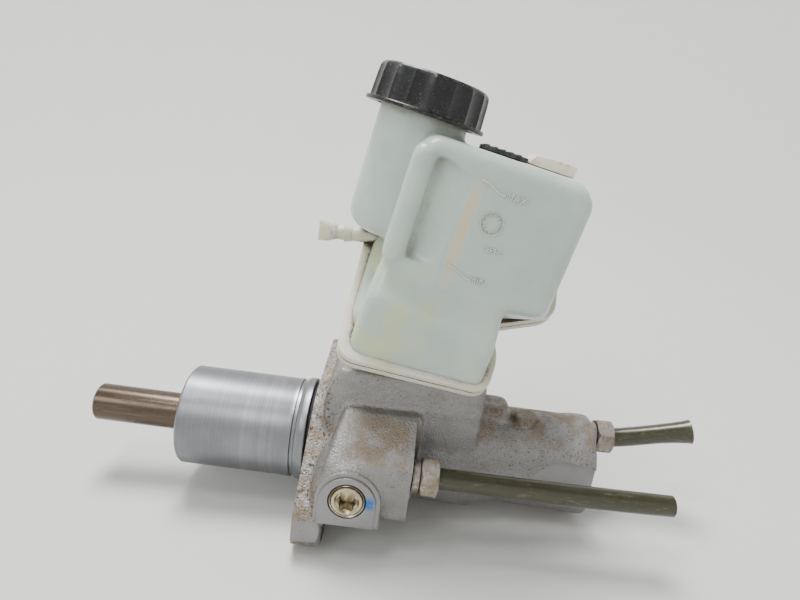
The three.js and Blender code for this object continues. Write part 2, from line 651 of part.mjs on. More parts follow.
/** The cap's rubber seal with its breather bellows, which hangs in the neck. */
function capGasket() {
  const rim = NECK.rimZ + GAP;
  const floor = rim - 5.4;
  return turnedUp([
    [floor, 0], [floor, 10.4], [rim, 10.4], [rim, 17.5], [rim + 0.8, 17.5], [rim + 0.8, 9.4],
    [floor + 1, 9.4], [floor + 1, 0],
  ], NECK.x, 0, 20);
}

function levelFloat() {
  const { x, y, radius, height, bottomZ, stemRadius } = FLOAT;
  const inner = stemRadius + 0.5;
  const topZ = bottomZ + height;
  return turnedUp([
    [bottomZ, inner], [bottomZ, radius - 1], [bottomZ + 1, radius], [topZ - 1, radius], [topZ, radius - 1],
    [topZ, inner], [bottomZ, inner],
  ], x, y, 20);
}

/** The reed-switch stem that the float slides on, with a stop at its foot. */
function levelSensorStem() {
  const { x, y, bottomZ, stemRadius } = FLOAT;
  const foot = bottomZ - GAP;
  const topZ = TANK.topZ + GAP;
  return turnedUp([
    [foot - 1.8, 0], [foot - 1.8, 3.8], [foot, 3.8], [foot, stemRadius], [topZ, stemRadius], [topZ, 0],
  ], x, y, 16);
}

function sensorCoverStrip() {
  const low = TANK.topZ + GAP;
  const outline = roundedOutline([[-2.5, -12, 2], [14.2, -12, 2], [14.2, 6, 2], [-2.5, 6, 2]]);
  const plate = plateZ(outline, low, low + 1.8, 3);
  const ribs = [0, 1, 2, 3].map((i) => box([i * 4 - 1, -9, low + 1.5], [i * 4 + 0.6, 3, low + 2.4]));
  return join(plate, ...ribs);
}

/** The white sensor head: a flat housing whose socket opens towards the nose. */
function sensorConnector() {
  const low = TANK.topZ + 2 * GAP;
  const housing = wrapped([
    [16, -6, low + 0.8], [32, -6, low + 0.8], [16, 6, low + 0.8], [32, 6, low + 0.8],
    [18, -5.5, low + 3.4], [32, -5.5, low + 3.4], [18, 5.5, low + 3.4], [32, 5.5, low + 3.4],
  ], 0.8);
  const socket = box([25, -5.4, low + 0.9], [35, 5.4, low + 3.2]);
  const slots = [-3.4, 0, 3.4].map((y) => box([27.5, y - 0.7, low + 3], [34, y + 0.7, low + 6]));
  return cut(housing, socket, ...slots);
}

const contactBlade = (y) => {
  const low = TANK.topZ + 2 * GAP + 1.6;
  return box([25.3, y - 1.1, low], [31.8, y + 1.1, low + 0.8]);
};

// ---------------------------------------------------------------- assembly

function addCylinder(group) {
  addPart(group, 'cylinder_body', cylinderBody(), MATERIALS.cast);
  addPart(group, 'booster_sleeve', boosterSleeve(), MATERIALS.turned);
  addPart(group, 'flange_seal', flangeSeal(), MATERIALS.rubber);
  addPart(group, 'guide_bush', guideBush(), MATERIALS.bush);
  addPart(group, 'rod_seal', rodSeal(), MATERIALS.rubber);
  addPart(group, 'seal_washer', sealWasher(), MATERIALS.steel);
  addPart(group, 'retaining_circlip', retainingCirclip(), MATERIALS.steel);
  addPart(group, 'stop_pin', stopPin(), MATERIALS.steel);
  addPart(group, 'plug_screw', plugScrew(), MATERIALS.zinc);
  addPart(group, 'plug_washer', plugWasher(), MATERIALS.brass);
}

function addPistons(group) {
  addPart(group, 'primary_piston', primaryPiston(), MATERIALS.bronze);
  addPart(group, 'primary_cup', lipCup(8.3, 12.5, PISTON.cupInner, 1), MATERIALS.rubber);
  addPart(group, 'primary_cup_washer', cupWasher(12.8), MATERIALS.steel);
  addPart(group, 'primary_spring', spring(14.2, 43.7, 6), MATERIALS.steel);
  addPart(group, 'secondary_piston', secondaryPiston(), MATERIALS.turned);
  addPart(group, 'secondary_rear_cup', lipCup(46.3, 50.3, 8.8, -1), MATERIALS.rubber);
  addPart(group, 'secondary_front_cup', lipCup(78.3, 82.5, PISTON.cupInner, 1), MATERIALS.rubber);
  addPart(group, 'secondary_cup_washer', cupWasher(82.8), MATERIALS.steel);
  addPart(group, 'secondary_spring', spring(84.2, 103.6, 4), MATERIALS.steel);
}

function addOutlets(group) {
  addPart(group, 'side_outlet_nut', flareNut(SIDE_PORT, 33, 47.5, 54.1), MATERIALS.zinc);
  addPart(group, 'nose_outlet_nut', flareNut(NOSE_PORT, 111, 121.5, 128.5), MATERIALS.zinc);
  addPart(group, 'side_brake_pipe', sideBrakePipe(), MATERIALS.pipe);
  addPart(group, 'nose_brake_pipe', noseBrakePipe(), MATERIALS.pipe);
  addPart(group, 'rear_grommet', grommet(FEED_X[0]), MATERIALS.rubber);
  addPart(group, 'front_grommet', grommet(FEED_X[1]), MATERIALS.rubber);
  addPart(group, 'reservoir_pin', reservoirPin(), MATERIALS.steel);
}

function reservoirGroup() {
  const group = new THREE.Group();
  group.rotation.y = TANK.lean;
  group.position.set(TANK.x, 0, TANK.z);
  const outer = tankForm(0);
  const cavity = tankForm(TANK.wall);
  addPart(group, 'reservoir_upper_shell', reservoirUpperShell(outer, cavity), MATERIALS.tank);
  addPart(group, 'reservoir_lower_shell', reservoirLowerShell(outer, cavity), MATERIALS.tank);
  addPart(group, 'filler_strainer', fillerStrainer(), MATERIALS.connector);
  addPart(group, 'cap_shell', capShell(), MATERIALS.cap);
  addPart(group, 'cap_gasket', capGasket(), MATERIALS.rubber);
  addPart(group, 'level_float', levelFloat(), MATERIALS.foam);
  addPart(group, 'level_sensor_stem', levelSensorStem(), MATERIALS.connector);
  addPart(group, 'sensor_cover_strip', sensorCoverStrip(), MATERIALS.cap);
  addPart(group, 'sensor_connector', sensorConnector(), MATERIALS.connector);
  addPart(group, 'contact_blade_1', contactBlade(-3.2), MATERIALS.brass);
  addPart(group, 'contact_blade_2', contactBlade(3.2), MATERIALS.brass);
  return group;
}

const masterCylinder = new THREE.Group();
masterCylinder.name = 'brake_master_cylinder';
addCylinder(masterCylinder);
addPistons(masterCylinder);
addOutlets(masterCylinder);
masterCylinder.add(reservoirGroup());
masterCylinder.position.x = -FLANGE.faceX;

export default masterCylinder;
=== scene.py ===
"""A used brake master cylinder with its fluid reservoir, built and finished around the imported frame."""

import json
import logging
import math
from collections.abc import Iterable, Sequence
from dataclasses import dataclass, field
from enum import Enum

import bmesh
import bpy
from mathutils import Matrix, Vector


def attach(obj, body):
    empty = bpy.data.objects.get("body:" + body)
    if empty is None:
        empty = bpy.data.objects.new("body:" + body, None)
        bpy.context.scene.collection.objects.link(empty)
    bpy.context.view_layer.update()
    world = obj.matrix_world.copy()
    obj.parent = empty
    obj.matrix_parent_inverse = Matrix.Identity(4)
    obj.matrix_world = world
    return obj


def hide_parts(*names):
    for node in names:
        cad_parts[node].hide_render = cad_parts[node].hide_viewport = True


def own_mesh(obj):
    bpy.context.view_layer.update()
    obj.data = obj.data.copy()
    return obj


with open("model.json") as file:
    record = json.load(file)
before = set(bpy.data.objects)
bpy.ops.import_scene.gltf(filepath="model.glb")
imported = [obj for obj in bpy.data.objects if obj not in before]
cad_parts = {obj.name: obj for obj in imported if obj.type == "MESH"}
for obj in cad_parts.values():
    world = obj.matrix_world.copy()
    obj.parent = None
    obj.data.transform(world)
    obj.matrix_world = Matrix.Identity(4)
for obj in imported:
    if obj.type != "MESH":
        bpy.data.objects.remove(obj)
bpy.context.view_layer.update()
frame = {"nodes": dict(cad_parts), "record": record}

LOG = logging.getLogger("master_cylinder")

Point = tuple[float, float, float]
Profile = Sequence[tuple[float, float]]
Mesh = bmesh.types.BMesh

MM = 0.001
ROUND = 96          # steps round a large turned piece
SMALL_ROUND = 48    # steps round a nut's shank or a grommet
CRISP_DEG = 32.0    # an edge sharper than this stays crisp under smooth shading
CREVICE_GAIN = 1.5  # how much a corner adds to the pattern of the grime that gathers in it

# The bench frame is the frame's own, in millimetres. The reservoir leans 11 degrees towards the nose.
BENCH = Matrix.Scale(MM, 4)
LEAN = math.radians(11.0)           # how far the tank leans towards the nose
TANK_PLACE = Matrix.Translation((37.0, 0.0, 40.0)) @ Matrix.Rotation(LEAN, 4, "Y")
TANK = BENCH @ TANK_PLACE           # from the tank's own millimetres to the frame's metres
INTO_TANK = TANK_PLACE.inverted()   # from the cylinder's millimetres to the tank's

# Where the ports' axes lie, in millimetres: in X and Z for the plug, in Y and Z for the two outlets.
PLUG = (19.1, -2.4)
SIDE_PORT = (-34.0, 5.3)
NOSE_PORT = (4.0, 11.6)


class Axis(Enum):
    """The direction that a turned or extruded shape is laid along."""

    BORE = "X"
    SIDE = "Y"
    UP = "Z"

    def turn(self) -> Matrix:
        """Gives the rotation that takes the X direction to this one.

        Returns:
            The rotation.
        """
        if self is Axis.SIDE:
            return Matrix.Rotation(math.radians(90.0), 4, "Z")
        if self is Axis.UP:
            return Matrix.Rotation(math.radians(-90.0), 4, "Y")
        return Matrix.Identity(4)


# ---------------------------------------------------------------- finishes


def linear(code: str) -> tuple[float, float, float, float]:
    """Turns an sRGB hex colour into Blender's linear one.

    Args:
        code: Six hex digits, with no leading mark.

    Returns:
        Red, green, blue and an alpha of one.
    """
    shades = [int(code[i:i + 2], 16) / 255.0 for i in (0, 2, 4)]
    red, green, blue = ((s / 12.92) if s <= 0.04045 else ((s + 0.055) / 1.055) ** 2.4 for s in shades)
    return (red, green, blue, 1.0)


def add(tree: bpy.types.NodeTree, kind: str, sockets: dict[int | str, object] | None = None,
        **settings: object) -> bpy.types.Node:
    """Adds a node with its settings and its links.

    Args:
        tree: The material's node tree.
        kind: The node's type without its common prefix.
        sockets: For each input, the output that feeds it or its own value.
        **settings: The node's own properties.

    Returns:
        The new node.
    """
    made = tree.nodes.new("ShaderNode" + kind)
    for name, value in settings.items():
        setattr(made, name, value)
    for name, value in (sockets or {}).items():
        if isinstance(value, bpy.types.NodeSocket):
            tree.links.new(value, made.inputs[name])
        else:
            made.inputs[name].default_value = value
    return made


@dataclass(frozen=True)
class Zone:
    """A ramp along a direction, from nothing at one distance to full at another, in millimetres."""

    toward: Point
    start: float
    full: float


@dataclass(frozen=True)
class Patches:
    """A second colour that lies over a finish in patches, specks or lines."""

    colour: str
    size_mm: float
    level: float                      # how high the pattern stands before the patch shows
    soft: float = 0.06                # how gradually the patch fades in
    strength: float = 1.0
    roughness: float | None = None
    stretch: Point = (1.0, 1.0, 1.0)
    seed: float = 0.0
    detail: float = 4.0
    crevice_mm: float = 0.0           # how far the patch reaches out of the corners it gathers in
    zones: tuple[Zone, ...] = ()

    def mask(self, tree: bpy.types.NodeTree, here: bpy.types.NodeSocket) -> bpy.types.NodeSocket:
        """Builds the nodes that say where the patches lie.

        Args:
            tree: The material's node tree.
            here: The Object coordinates.

        Returns:
            A value from nothing to this layer's strength.
        """
        frequency = 1.0 / (self.size_mm * MM)
        laid = add(tree, "Mapping", {"Vector": here, "Scale": self.stretch,
                                     "Location": (self.seed, self.seed * 0.7, -self.seed)})
        noise = add(tree, "TexNoise", {"Vector": laid.outputs[0], "Scale": frequency, "Detail": self.detail,
                                       "Roughness": 0.6})
        level = noise.outputs[0]
        if self.crevice_mm > 0.0:
            corner = add(tree, "AmbientOcclusion", {"Distance": self.crevice_mm * MM}, samples=8)
            filled = add(tree, "Math", {0: 1.0, 1: corner.outputs[1]}, operation="SUBTRACT")
            deeper = add(tree, "Math", {0: filled.outputs[0], 1: CREVICE_GAIN, 2: level},
                         operation="MULTIPLY_ADD")
            level = deeper.outputs[0]
        shown = add(tree, "MapRange", {"Value": level, "From Min": self.level - self.soft,
                                       "From Max": self.level + self.soft, "To Max": self.strength},
                    interpolation_type="SMOOTHSTEP").outputs[0]
        for zone in self.zones:
            along = add(tree, "VectorMath", {0: here, 1: zone.toward}, operation="DOT_PRODUCT")
            ramp = add(tree, "MapRange", {"Value": along.outputs["Value"], "From Min": zone.start * MM,
                                          "From Max": zone.full * MM}, interpolation_type="SMOOTHSTEP")
            shown = add(tree, "Math", {0: shown, 1: ramp.outputs[0]}, operation="MULTIPLY").outputs[0]
        return shown


@dataclass(frozen=True)
class Grain:
    """A fine relief: bumps of one size and height, stretched into lines where they are tool marks."""

    size_mm: float
    height_mm: float
    stretch: Point = (1.0, 1.0, 1.0)
    detail: float = 2.0


@dataclass(frozen=True)
class Finish:
    """What a piece is made of and how its surface was made and worn."""

    name: str
    ground: str
    roughness: float
    metallic: float = 0.0
    patches: tuple[Patches, ...] = ()
    grains: tuple[Grain, ...] = ()
    shader: dict[str, object] = field(default_factory=dict)
    relief: float = 1.0

    def material(self) -> bpy.types.Material:
        """Makes the material the first time and gives the same one after that.

        Returns:
            The Blender material.
        """
        known = bpy.data.materials.get(self.name)
        if known is not None:
            return known
        made = bpy.data.materials.new(self.name)
        made.use_nodes = True
        made.diffuse_color = linear(self.ground)
        tree = made.node_tree
        skin = tree.nodes["Principled BSDF"]
        here = add(tree, "TexCoord").outputs["Object"]
        colour: object = linear(self.ground)
        rough: object = self.roughness
        for patch in self.patches:
            mask = patch.mask(tree, here)
            over = add(tree, "Mix", {0: mask, 6: colour, 7: linear(patch.colour)}, data_type="RGBA")
            colour = over.outputs[2]
            if patch.roughness is not None:
                rough = add(tree, "Mix", {0: mask, 2: rough, 3: patch.roughness}).outputs[0]
        self._set(tree, skin, "Base Color", colour)
        self._set(tree, skin, "Roughness", rough)
        self._set(tree, skin, "Metallic", self.metallic)
        for socket, value in self.shader.items():
            self._set(tree, skin, socket, value)
        normal = None
        for grain in self.grains:
            laid = add(tree, "Mapping", {"Vector": here, "Scale": grain.stretch})
            bumps = add(tree, "TexNoise", {"Vector": laid.outputs[0], "Scale": 1.0 / (grain.size_mm * MM),
                                           "Detail": grain.detail})
            sockets = {"Height": bumps.outputs[0], "Strength": self.relief, "Distance": grain.height_mm * MM}
            if normal is not None:
                sockets["Normal"] = normal
            normal = add(tree, "Bump", sockets).outputs[0]
        if normal is not None:
            tree.links.new(normal, skin.inputs["Normal"])
        return made

    @staticmethod
    def _set(tree: bpy.types.NodeTree, skin: bpy.types.Node, socket: str, value: object) -> None:
        """Sets a shader socket's own value, or links a pattern to it."""
        if isinstance(value, bpy.types.NodeSocket):
            tree.links.new(value, skin.inputs[socket])
        else:
            skin.inputs[socket].default_value = value


# Bead-like sand and die-cast aluminium, glass-blasted grey, that has taken brake dust and road grime: pale,
# glossier specks are painted on as its sparkle, a painted glint; there is tan stain in the corners and on the
# flange, and dark pin-point pits.
CAST_SKIN = Finish(
    "cast_aluminium_skin", "8e8c8b", 0.45, 0.75,
    (
        Patches("7a7672", 7.0, 0.56, 0.14, 0.5),
        Patches("8a7a66", 8.0, 0.92, 0.16, 0.7, 0.66, crevice_mm=5.0, seed=3.1),
        Patches("85745f", 5.0, 0.5, 0.13, 0.75, 0.72, seed=7.7, zones=(Zone((-1.0, 0.0, 0.0), -9.0, -5.5),)),
        Patches("5d4a38", 2.6, 0.6, 0.05, 0.65, 0.8, seed=1.3, zones=(Zone((-1.0, 0.0, 0.0), -10.0, -7.0),)),
        Patches("84745f", 8.0, 0.45, 0.12, 0.75, 0.7, seed=5.2,
                zones=(Zone((1.0, 0.0, 0.0), 13.0, 19.0), Zone((-1.0, 0.0, 0.0), -41.0, -37.0),
                       Zone((0.0, 0.0, 1.0), 9.0, 13.0), Zone((0.0, 0.0, -1.0), -25.0, -21.0),
                       Zone((0.0, -1.0, 0.0), 17.0, 21.0))),
        Patches("7f6c56", 7.0, 0.49, 0.1, 0.7, 0.72, seed=9.2,
                zones=(Zone((1.0, 0.0, 0.0), 62.0, 66.0), Zone((0.0, 0.0, 1.0), 10.0, 18.0))),
        Patches("2f2a26", 0.7, 0.675, 0.02, 0.7, 0.8, seed=2.0, detail=2.0),
        Patches("2f2a26", 1.2, 0.6, 0.03, 0.85, 0.8, seed=3.0, zones=(Zone((-1.0, 0.0, 0.0), -10.0, -8.0),)),
        Patches("3a332c", 0.7, 0.63, 0.03, 0.6, 0.8, seed=6.0, detail=2.0,
                zones=(Zone((1.0, 0.0, 0.0), 60.0, 66.0),)),
        # Pale, glossier specks: a painted glint that stands in for the blasted surface's sparkle.
        Patches("b1afad", 0.5, 0.6, 0.08, 0.22, 0.36, seed=4.4, detail=1.0),
    ),
    (Grain(0.75, 0.5, detail=2.5), Grain(2.6, 0.14)),
)

# The same aluminium where a cutter has faced it: flat grey with a very fine feed pattern.
CAST_FACED = Finish(
    "faced_aluminium", "8d8c8d", 0.38, 0.85,
    (
        Patches("8c8884", 6.0, 0.55, 0.12, 0.5, 0.5),
        Patches("4e463d", 1.3, 0.7, 0.03, 0.6, 0.7, seed=3.0),
        Patches("2c6fb4", 1.3, 0.42, 0.1, 1.0, 0.5, seed=6.3,
                zones=(Zone((1.0, 0.0, 0.0), 23.6, 26.6), Zone((-1.0, 0.0, 0.0), -30.4, -27.4),
                       Zone((0.0, 0.0, 1.0), -6.4, -2.8), Zone((0.0, 0.0, -1.0), -1.8, 1.8),
                       Zone((0.0, -1.0, 0.0), 40.0, 42.0))),
    ),
    (Grain(0.3, 0.01, (1.0, 1.0, 6.0)),),
)

# Aluminium bar turned in a lathe and left bare: satin, with feed lines round it that are drawn 0.35 mm apart,
# coarser than the real tenth of a millimetre, so that they show.
TURNED = Finish(
    "turned_aluminium_sleeve", "88898c", 0.34, 1.0,
    (
        Patches("707174", 0.35, 0.52, 0.2, 0.5, 0.42, (1.0, 0.004, 0.004)),
        Patches("a4a5a7", 2.6, 0.6, 0.08, 0.3, 0.3, (1.0, 0.006, 0.006), 2.0),
        Patches("6c6d70", 14.0, 0.56, 0.12, 0.35, 0.46, seed=4.0),
        Patches("6a625a", 1.6, 0.71, 0.03, 0.5, 0.6, seed=8.0),
    ),
    (Grain(0.35, 0.008, (1.0, 0.004, 0.004)),),
)

# Hard-anodised aluminium rod, polished by its seal: warm bronze-brown with one long clear highlight.
HARD_ANODISED = Finish(
    "hard_anodised_rod", "5a4e43", 0.26, 0.9,
    (
        Patches("524940", 11.0, 0.53, 0.15, 0.6, 0.32),
        Patches("776b60", 0.9, 0.6, 0.1, 0.4, 0.24, (0.05, 1.0, 1.0), 3.0),
        Patches("3d3025", 1.1, 0.72, 0.03, 0.5, 0.5, seed=6.0),
    ),
    (Grain(0.5, 0.004, (0.03, 1.0, 1.0)),),
)

# The rod's end where the coating is worn through to bright aluminium by the booster's push rod.
WORN_TIP = Finish(
    "worn_rod_tip", "ab9c8c", 0.3, 1.0,
    (Patches("8b7561", 2.0, 0.55, 0.1, 0.7, 0.42), Patches("5d4a3a", 0.7, 0.64, 0.05, 0.5, 0.5, seed=2.0)),
    (Grain(0.4, 0.01),),
)

# Zinc-plated steel with a yellow passivate, still bright, as on a sealing plug.
ZINC_BRIGHT = Finish(
    "yellow_zinc_plug", "c2b9a2", 0.27, 1.0,
    (
        Patches("9a8b6c", 3.0, 0.54, 0.12, 0.6, 0.4, seed=1.0),
        Patches("4d4332", 1.4, 1.1, 0.12, 0.75, 0.7, crevice_mm=2.0, seed=3.0),
    ),
    (Grain(0.6, 0.012),),
)

# The same plating gone dull and tan on the pipe nuts, with dark grime where they meet their collar.
ZINC_DULL = Finish(
    "dull_zinc_nut", "96908a", 0.45, 0.85,
    (
        Patches("807058", 3.5, 0.52, 0.14, 0.75, 0.62, seed=2.0),
        Patches("c3bdae", 1.6, 0.6, 0.08, 0.6, 0.36, seed=5.0),
        Patches("3b3127", 1.1, 1.0, 0.12, 0.8, 0.8, crevice_mm=2.0, seed=7.0),
    ),
    (Grain(0.9, 0.05), Grain(2.4, 0.05)),
)

# Steel brake pipe under an olive protective coating: slick, dark green-brown, scratched to a paler line.
OLIVE_COATING = Finish(
    "olive_pipe_coating", "393725", 0.28, 0.3,
    (
        Patches("3a3828", 8.0, 0.52, 0.14, 0.7, 0.38),
        Patches("6b674f", 0.7, 0.63, 0.05, 0.6, 0.45, (0.1, 1.0, 1.0), 2.0),
        Patches("b8b29c", 0.9, 0.74, 0.02, 0.8, 0.4, (0.35, 1.0, 1.0), 5.0),
        Patches("2a271d", 2.4, 0.64, 0.05, 0.6, 0.6, seed=8.0),
    ),
    (Grain(1.4, 0.05, (0.5, 1.0, 1.0)), Grain(0.4, 0.012)),
    {"Coat Weight": 0.35, "Coat Roughness": 0.2},
)

# The pipes' ends, fresh from the saw: bright steel with burrs.
SAWN_STEEL = Finish(
    "sawn_pipe_end", "cfccc4", 0.32, 1.0,
    (Patches("7e776a", 0.8, 0.55, 0.08, 0.7, 0.5), Patches("3f3b2f", 0.6, 0.66, 0.04, 0.7, 0.7, seed=3.0)),
    (Grain(0.35, 0.05),),
)

# Natural polypropylene, injection moulded and a few years old: milky, a little green-grey, letting light a few
# millimetres in. It yellows low down where fluid has stood, and the baffle shows through as a beige streak.
TANK_U = (math.cos(LEAN), 0.0, -math.sin(LEAN))
TANK_W = (math.sin(LEAN), 0.0, math.cos(LEAN))
TANK_X0 = 37.0 * TANK_U[0] + 40.0 * TANK_U[2]
TANK_Z0 = 37.0 * TANK_W[0] + 40.0 * TANK_W[2]


def across(side: int, start: float, full: float) -> Zone:
    """A ramp across the reservoir, towards the nose for a side of 1 and away from it for -1."""
    return Zone(tuple(side * c for c in TANK_U), start + side * TANK_X0, full + side * TANK_X0)


def above(side: int, start: float, full: float) -> Zone:
    """A ramp up the reservoir for a side of 1 and down it for -1."""
    return Zone(tuple(side * c for c in TANK_W), start + side * TANK_Z0, full + side * TANK_Z0)


FRONT = Zone((0.0, -1.0, 0.0), 20.0, 24.0)
MILKY = {"Subsurface Weight": 0.3, "Subsurface Radius": (1.0, 1.0, 0.8), "Subsurface Scale": 0.004, "IOR": 1.49}
TANK_WALL = Finish(
    "natural_polypropylene", "afbdb5", 0.27, 0.0,
    (
        Patches("bdc8bf", 34.0, 0.5, 0.14, 0.6),
        Patches("a1b0a9", 26.0, 0.55, 0.12, 0.5, seed=5.0),
        Patches("d0bb95", 90.0, 0.2, 0.1, 0.75, 0.36, seed=2.0,
                zones=(across(1, -4.6, -1.5), across(-1, -1.5, 1.3), above(1, 34.0, 46.0), above(-1, -78.0, -66.0),
                       FRONT)),
        Patches("c2c784", 15.0, 0.48, 0.1, 0.5, seed=11.0,
                zones=(above(-1, -44.0, -36.0), across(-1, -4.0, 6.0), across(1, -31.0, -27.0))),
        Patches("c4c196", 24.0, 0.52, 0.14, 0.35, seed=3.0, zones=(above(-1, -22.0, -4.0),)),
        Patches("86745a", 4.0, 0.95, 0.13, 0.6, 0.6, crevice_mm=3.8, seed=4.0),
        Patches("352d22", 1.4, 1.16, 0.08, 0.6, 0.75, crevice_mm=2.4, seed=6.0),
        Patches("4f4535", 0.7, 0.735, 0.02, 0.6, 0.7, seed=9.0, detail=2.0),
    ),
    (Grain(9.0, 0.22), Grain(0.7, 0.008)),
    MILKY,
)

# The welded rim of the same plastic: whiter where it was melted, with grime in the line between the halves.
TANK_RIM = Finish(
    "welded_polypropylene_rim", "cbc9ba", 0.42, 0.0,
    (
        Patches("c4c0a4", 12.0, 0.5, 0.12, 0.7),
        Patches("93805f", 4.0, 0.9, 0.13, 0.75, 0.6, crevice_mm=4.0, seed=3.0),
        Patches("352d22", 1.6, 0.98, 0.1, 0.9, 0.8, crevice_mm=3.6, seed=8.0),
        Patches("5c523f", 0.9, 0.71, 0.03, 0.6, 0.8, seed=1.0, detail=2.0),
    ),
    (Grain(3.0, 0.1), Grain(0.6, 0.01)),
    MILKY,
)

# The letters and signs that the mould leaves standing: the same plastic, painted lighter with paler patches and a
# little glossier, a painted highlight where the raised marks catch the light.
PAINTED_LIGHT_MARK = Finish(
    "polypropylene_mark_painted_highlight", "c6d0c8", 0.24, 0.0,
    (Patches("e2e5dc", 3.0, 0.5, 0.15, 0.5),),
    (Grain(0.5, 0.006),),
    MILKY,
)


# Black polypropylene cap: glossy flutes under a film of dust, with a scuffed pale rim and grime at the foot.
CAP_PLASTIC = Finish(
    "black_polypropylene_cap", "0d0e10", 0.26, 0.0,
    (
        Patches("2a2c2f", 6.0, 0.56, 0.16, 0.3, 0.36),
        Patches("64655f", 3.0, 0.54, 0.2, 0.5, 0.6, seed=3.0, zones=(above(1, 100.8, 101.9),)),
        Patches("a4a49e", 0.5, 0.715, 0.03, 0.55, 0.8, seed=5.0, detail=2.0),
        Patches("5b564c", 1.5, 0.6, 0.08, 0.5, 0.8, seed=6.0, zones=(above(-1, -92.0, -90.0),)),
    ),
    (Grain(7.0, 0.08), Grain(0.5, 0.02)),
    {"IOR": 1.45},
)

# Black strip over the sensor, moulded rough and dusty.
STRIP_PLASTIC = Finish(
    "rough_black_strip", "1f2022", 0.6, 0.0,
    (Patches("4f4f4c", 2.4, 0.52, 0.12, 0.6, 0.8), Patches("8b8a84", 0.8, 0.64, 0.05, 0.6, 0.9, seed=2.0)),
    (Grain(0.8, 0.08), Grain(3.0, 0.1)),
)

# Cream-white polyamide of the sensor plug and the strainer: matt satin, a little soiled.
SENSOR_PLASTIC = Finish(
    "cream_polyamide", "e6dfd0", 0.46, 0.0,
    (
        Patches("d3c7ae", 6.0, 0.52, 0.12, 0.6),
        Patches("8a7c66", 2.0, 0.95, 0.1, 0.6, 0.7, crevice_mm=1.5, seed=4.0),
    ),
    (Grain(1.8, 0.03),),
    {"Subsurface Weight": 0.15, "Subsurface Radius": (1.0, 0.8, 0.6), "Subsurface Scale": 0.002},
)

# Moulded rubber of the seals and grommets: dull black with a grey bloom.
RUBBER = Finish(
    "moulded_rubber", "1b1b1c", 0.72, 0.0,
    (Patches("33332f", 3.0, 0.52, 0.12, 0.7, 0.85), Patches("5b5346", 1.2, 0.68, 0.05, 0.5, 0.9, seed=2.0)),
    (Grain(0.6, 0.02),),
)

# Glass-filled plastic of the bush that guides the rod.
BUSH_PLASTIC = Finish(
    "glass_filled_bush", "2b2d30", 0.5, 0.0,
    (Patches("44464a", 1.2, 0.56, 0.1, 0.6),), (Grain(0.5, 0.02),),
)

# Bright drawn or stamped steel of the pins, washers, clip and springs, under a film of fluid.
BARE_STEEL = Finish(
    "drawn_steel", "a7a5a0", 0.3, 1.0,
    (Patches("85827b", 2.0, 0.54, 0.12, 0.6, 0.42), Patches("5f4b37", 1.0, 0.7, 0.04, 0.5, 0.7, seed=2.0)),
    (Grain(0.5, 0.01),),
)

# Copper alloy of the sealing ring and the sensor's contacts, browned by air.
BRASS = Finish(
    "browned_brass", "b28c4b", 0.34, 1.0,
    (Patches("7c5c30", 1.8, 0.54, 0.12, 0.7, 0.5),), (Grain(0.5, 0.01),),
)

# Closed-cell foam of the level float, stained amber by brake fluid.
FOAM = Finish(
    "amber_float_foam", "8f6d43", 0.7, 0.0,
    (Patches("5f4425", 1.0, 0.55, 0.1, 0.7, 0.85), Patches("b08d5c", 4.0, 0.55, 0.12, 0.5, seed=3.0)),
    (Grain(0.8, 0.12),),
)

SLOT_FINISH = {
    "cast_aluminium": CAST_SKIN, "turned_aluminium": TURNED, "bronze_anodised": HARD_ANODISED, "rubber": RUBBER,
    "bush_plastic": BUSH_PLASTIC, "steel": BARE_STEEL, "zinc_steel": ZINC_DULL, "brass": BRASS,
    "pipe_coating": OLIVE_COATING, "tank_plastic": TANK_WALL, "cap_plastic": STRIP_PLASTIC,
    "connector_plastic": SENSOR_PLASTIC, "foam": FOAM,
}


# ---------------------------------------------------------------- shaping


def outward(stock: Mesh) -> Mesh:
    """Merges doubles and turns every face outwards.

    Args:
        stock: The body to put right.

    Returns:
        The same body.
    """
    bmesh.ops.remove_doubles(stock, verts=stock.verts, dist=1e-4)
    bmesh.ops.recalc_face_normals(stock, faces=stock.faces)
    return stock


def lathe(profile: Profile, axis: Axis = Axis.BORE, at: tuple[float, float] = (0.0, 0.0),
          steps: int = ROUND) -> Mesh:
    """Turns a profile into a closed body of revolution.

    Args:
        profile: Points of (station, radius) in order, which start and end on the axis or meet each other.
        axis: The direction of the turning axis.
        at: The axis's place in the other two directions, in their usual order.
        steps: How many facets go round it.

    Returns:
        The body, in millimetres.
    """
    stock = bmesh.new()
    points = [stock.verts.new((station, radius, 0.0)) for station, radius in profile]
    edges = [stock.edges.new(pair) for pair in zip(points, points[1:])]
    bmesh.ops.spin(stock, geom=points + edges, cent=(0, 0, 0), axis=(1, 0, 0), angle=math.tau, steps=steps,
                   use_merge=True)
    outward(stock)
    place = {Axis.BORE: (0.0, *at), Axis.SIDE: (at[0], 0.0, at[1]), Axis.UP: (*at, 0.0)}[axis]
    bmesh.ops.transform(stock, matrix=Matrix.Translation(place) @ axis.turn(), verts=stock.verts)
    return stock


def rod(start: float, end: float, radius: float, axis: Axis, at: tuple[float, float], steps: int = SMALL_ROUND,
        edge: float = 0.0) -> Mesh:
    """Turns a plain round bar, with its edges broken by the given amount."""
    profile = [(start, 0.0), (start, radius - edge), (start + edge, radius), (end - edge, radius),
               (end, radius - edge), (end, 0.0)]
    return lathe(profile if edge > 0.0 else [profile[0], (start, radius), (end, radius), profile[-1]], axis, at,
                 steps)


def tube(start: float, end: float, inner: float, outer: float, axis: Axis = Axis.UP,
         at: tuple[float, float] = (0.0, 0.0), steps: int = SMALL_ROUND) -> Mesh:
    """Turns a plain round tube."""
    return lathe([(start, inner), (start, outer), (end, outer), (end, inner), (start, inner)], axis, at, steps)


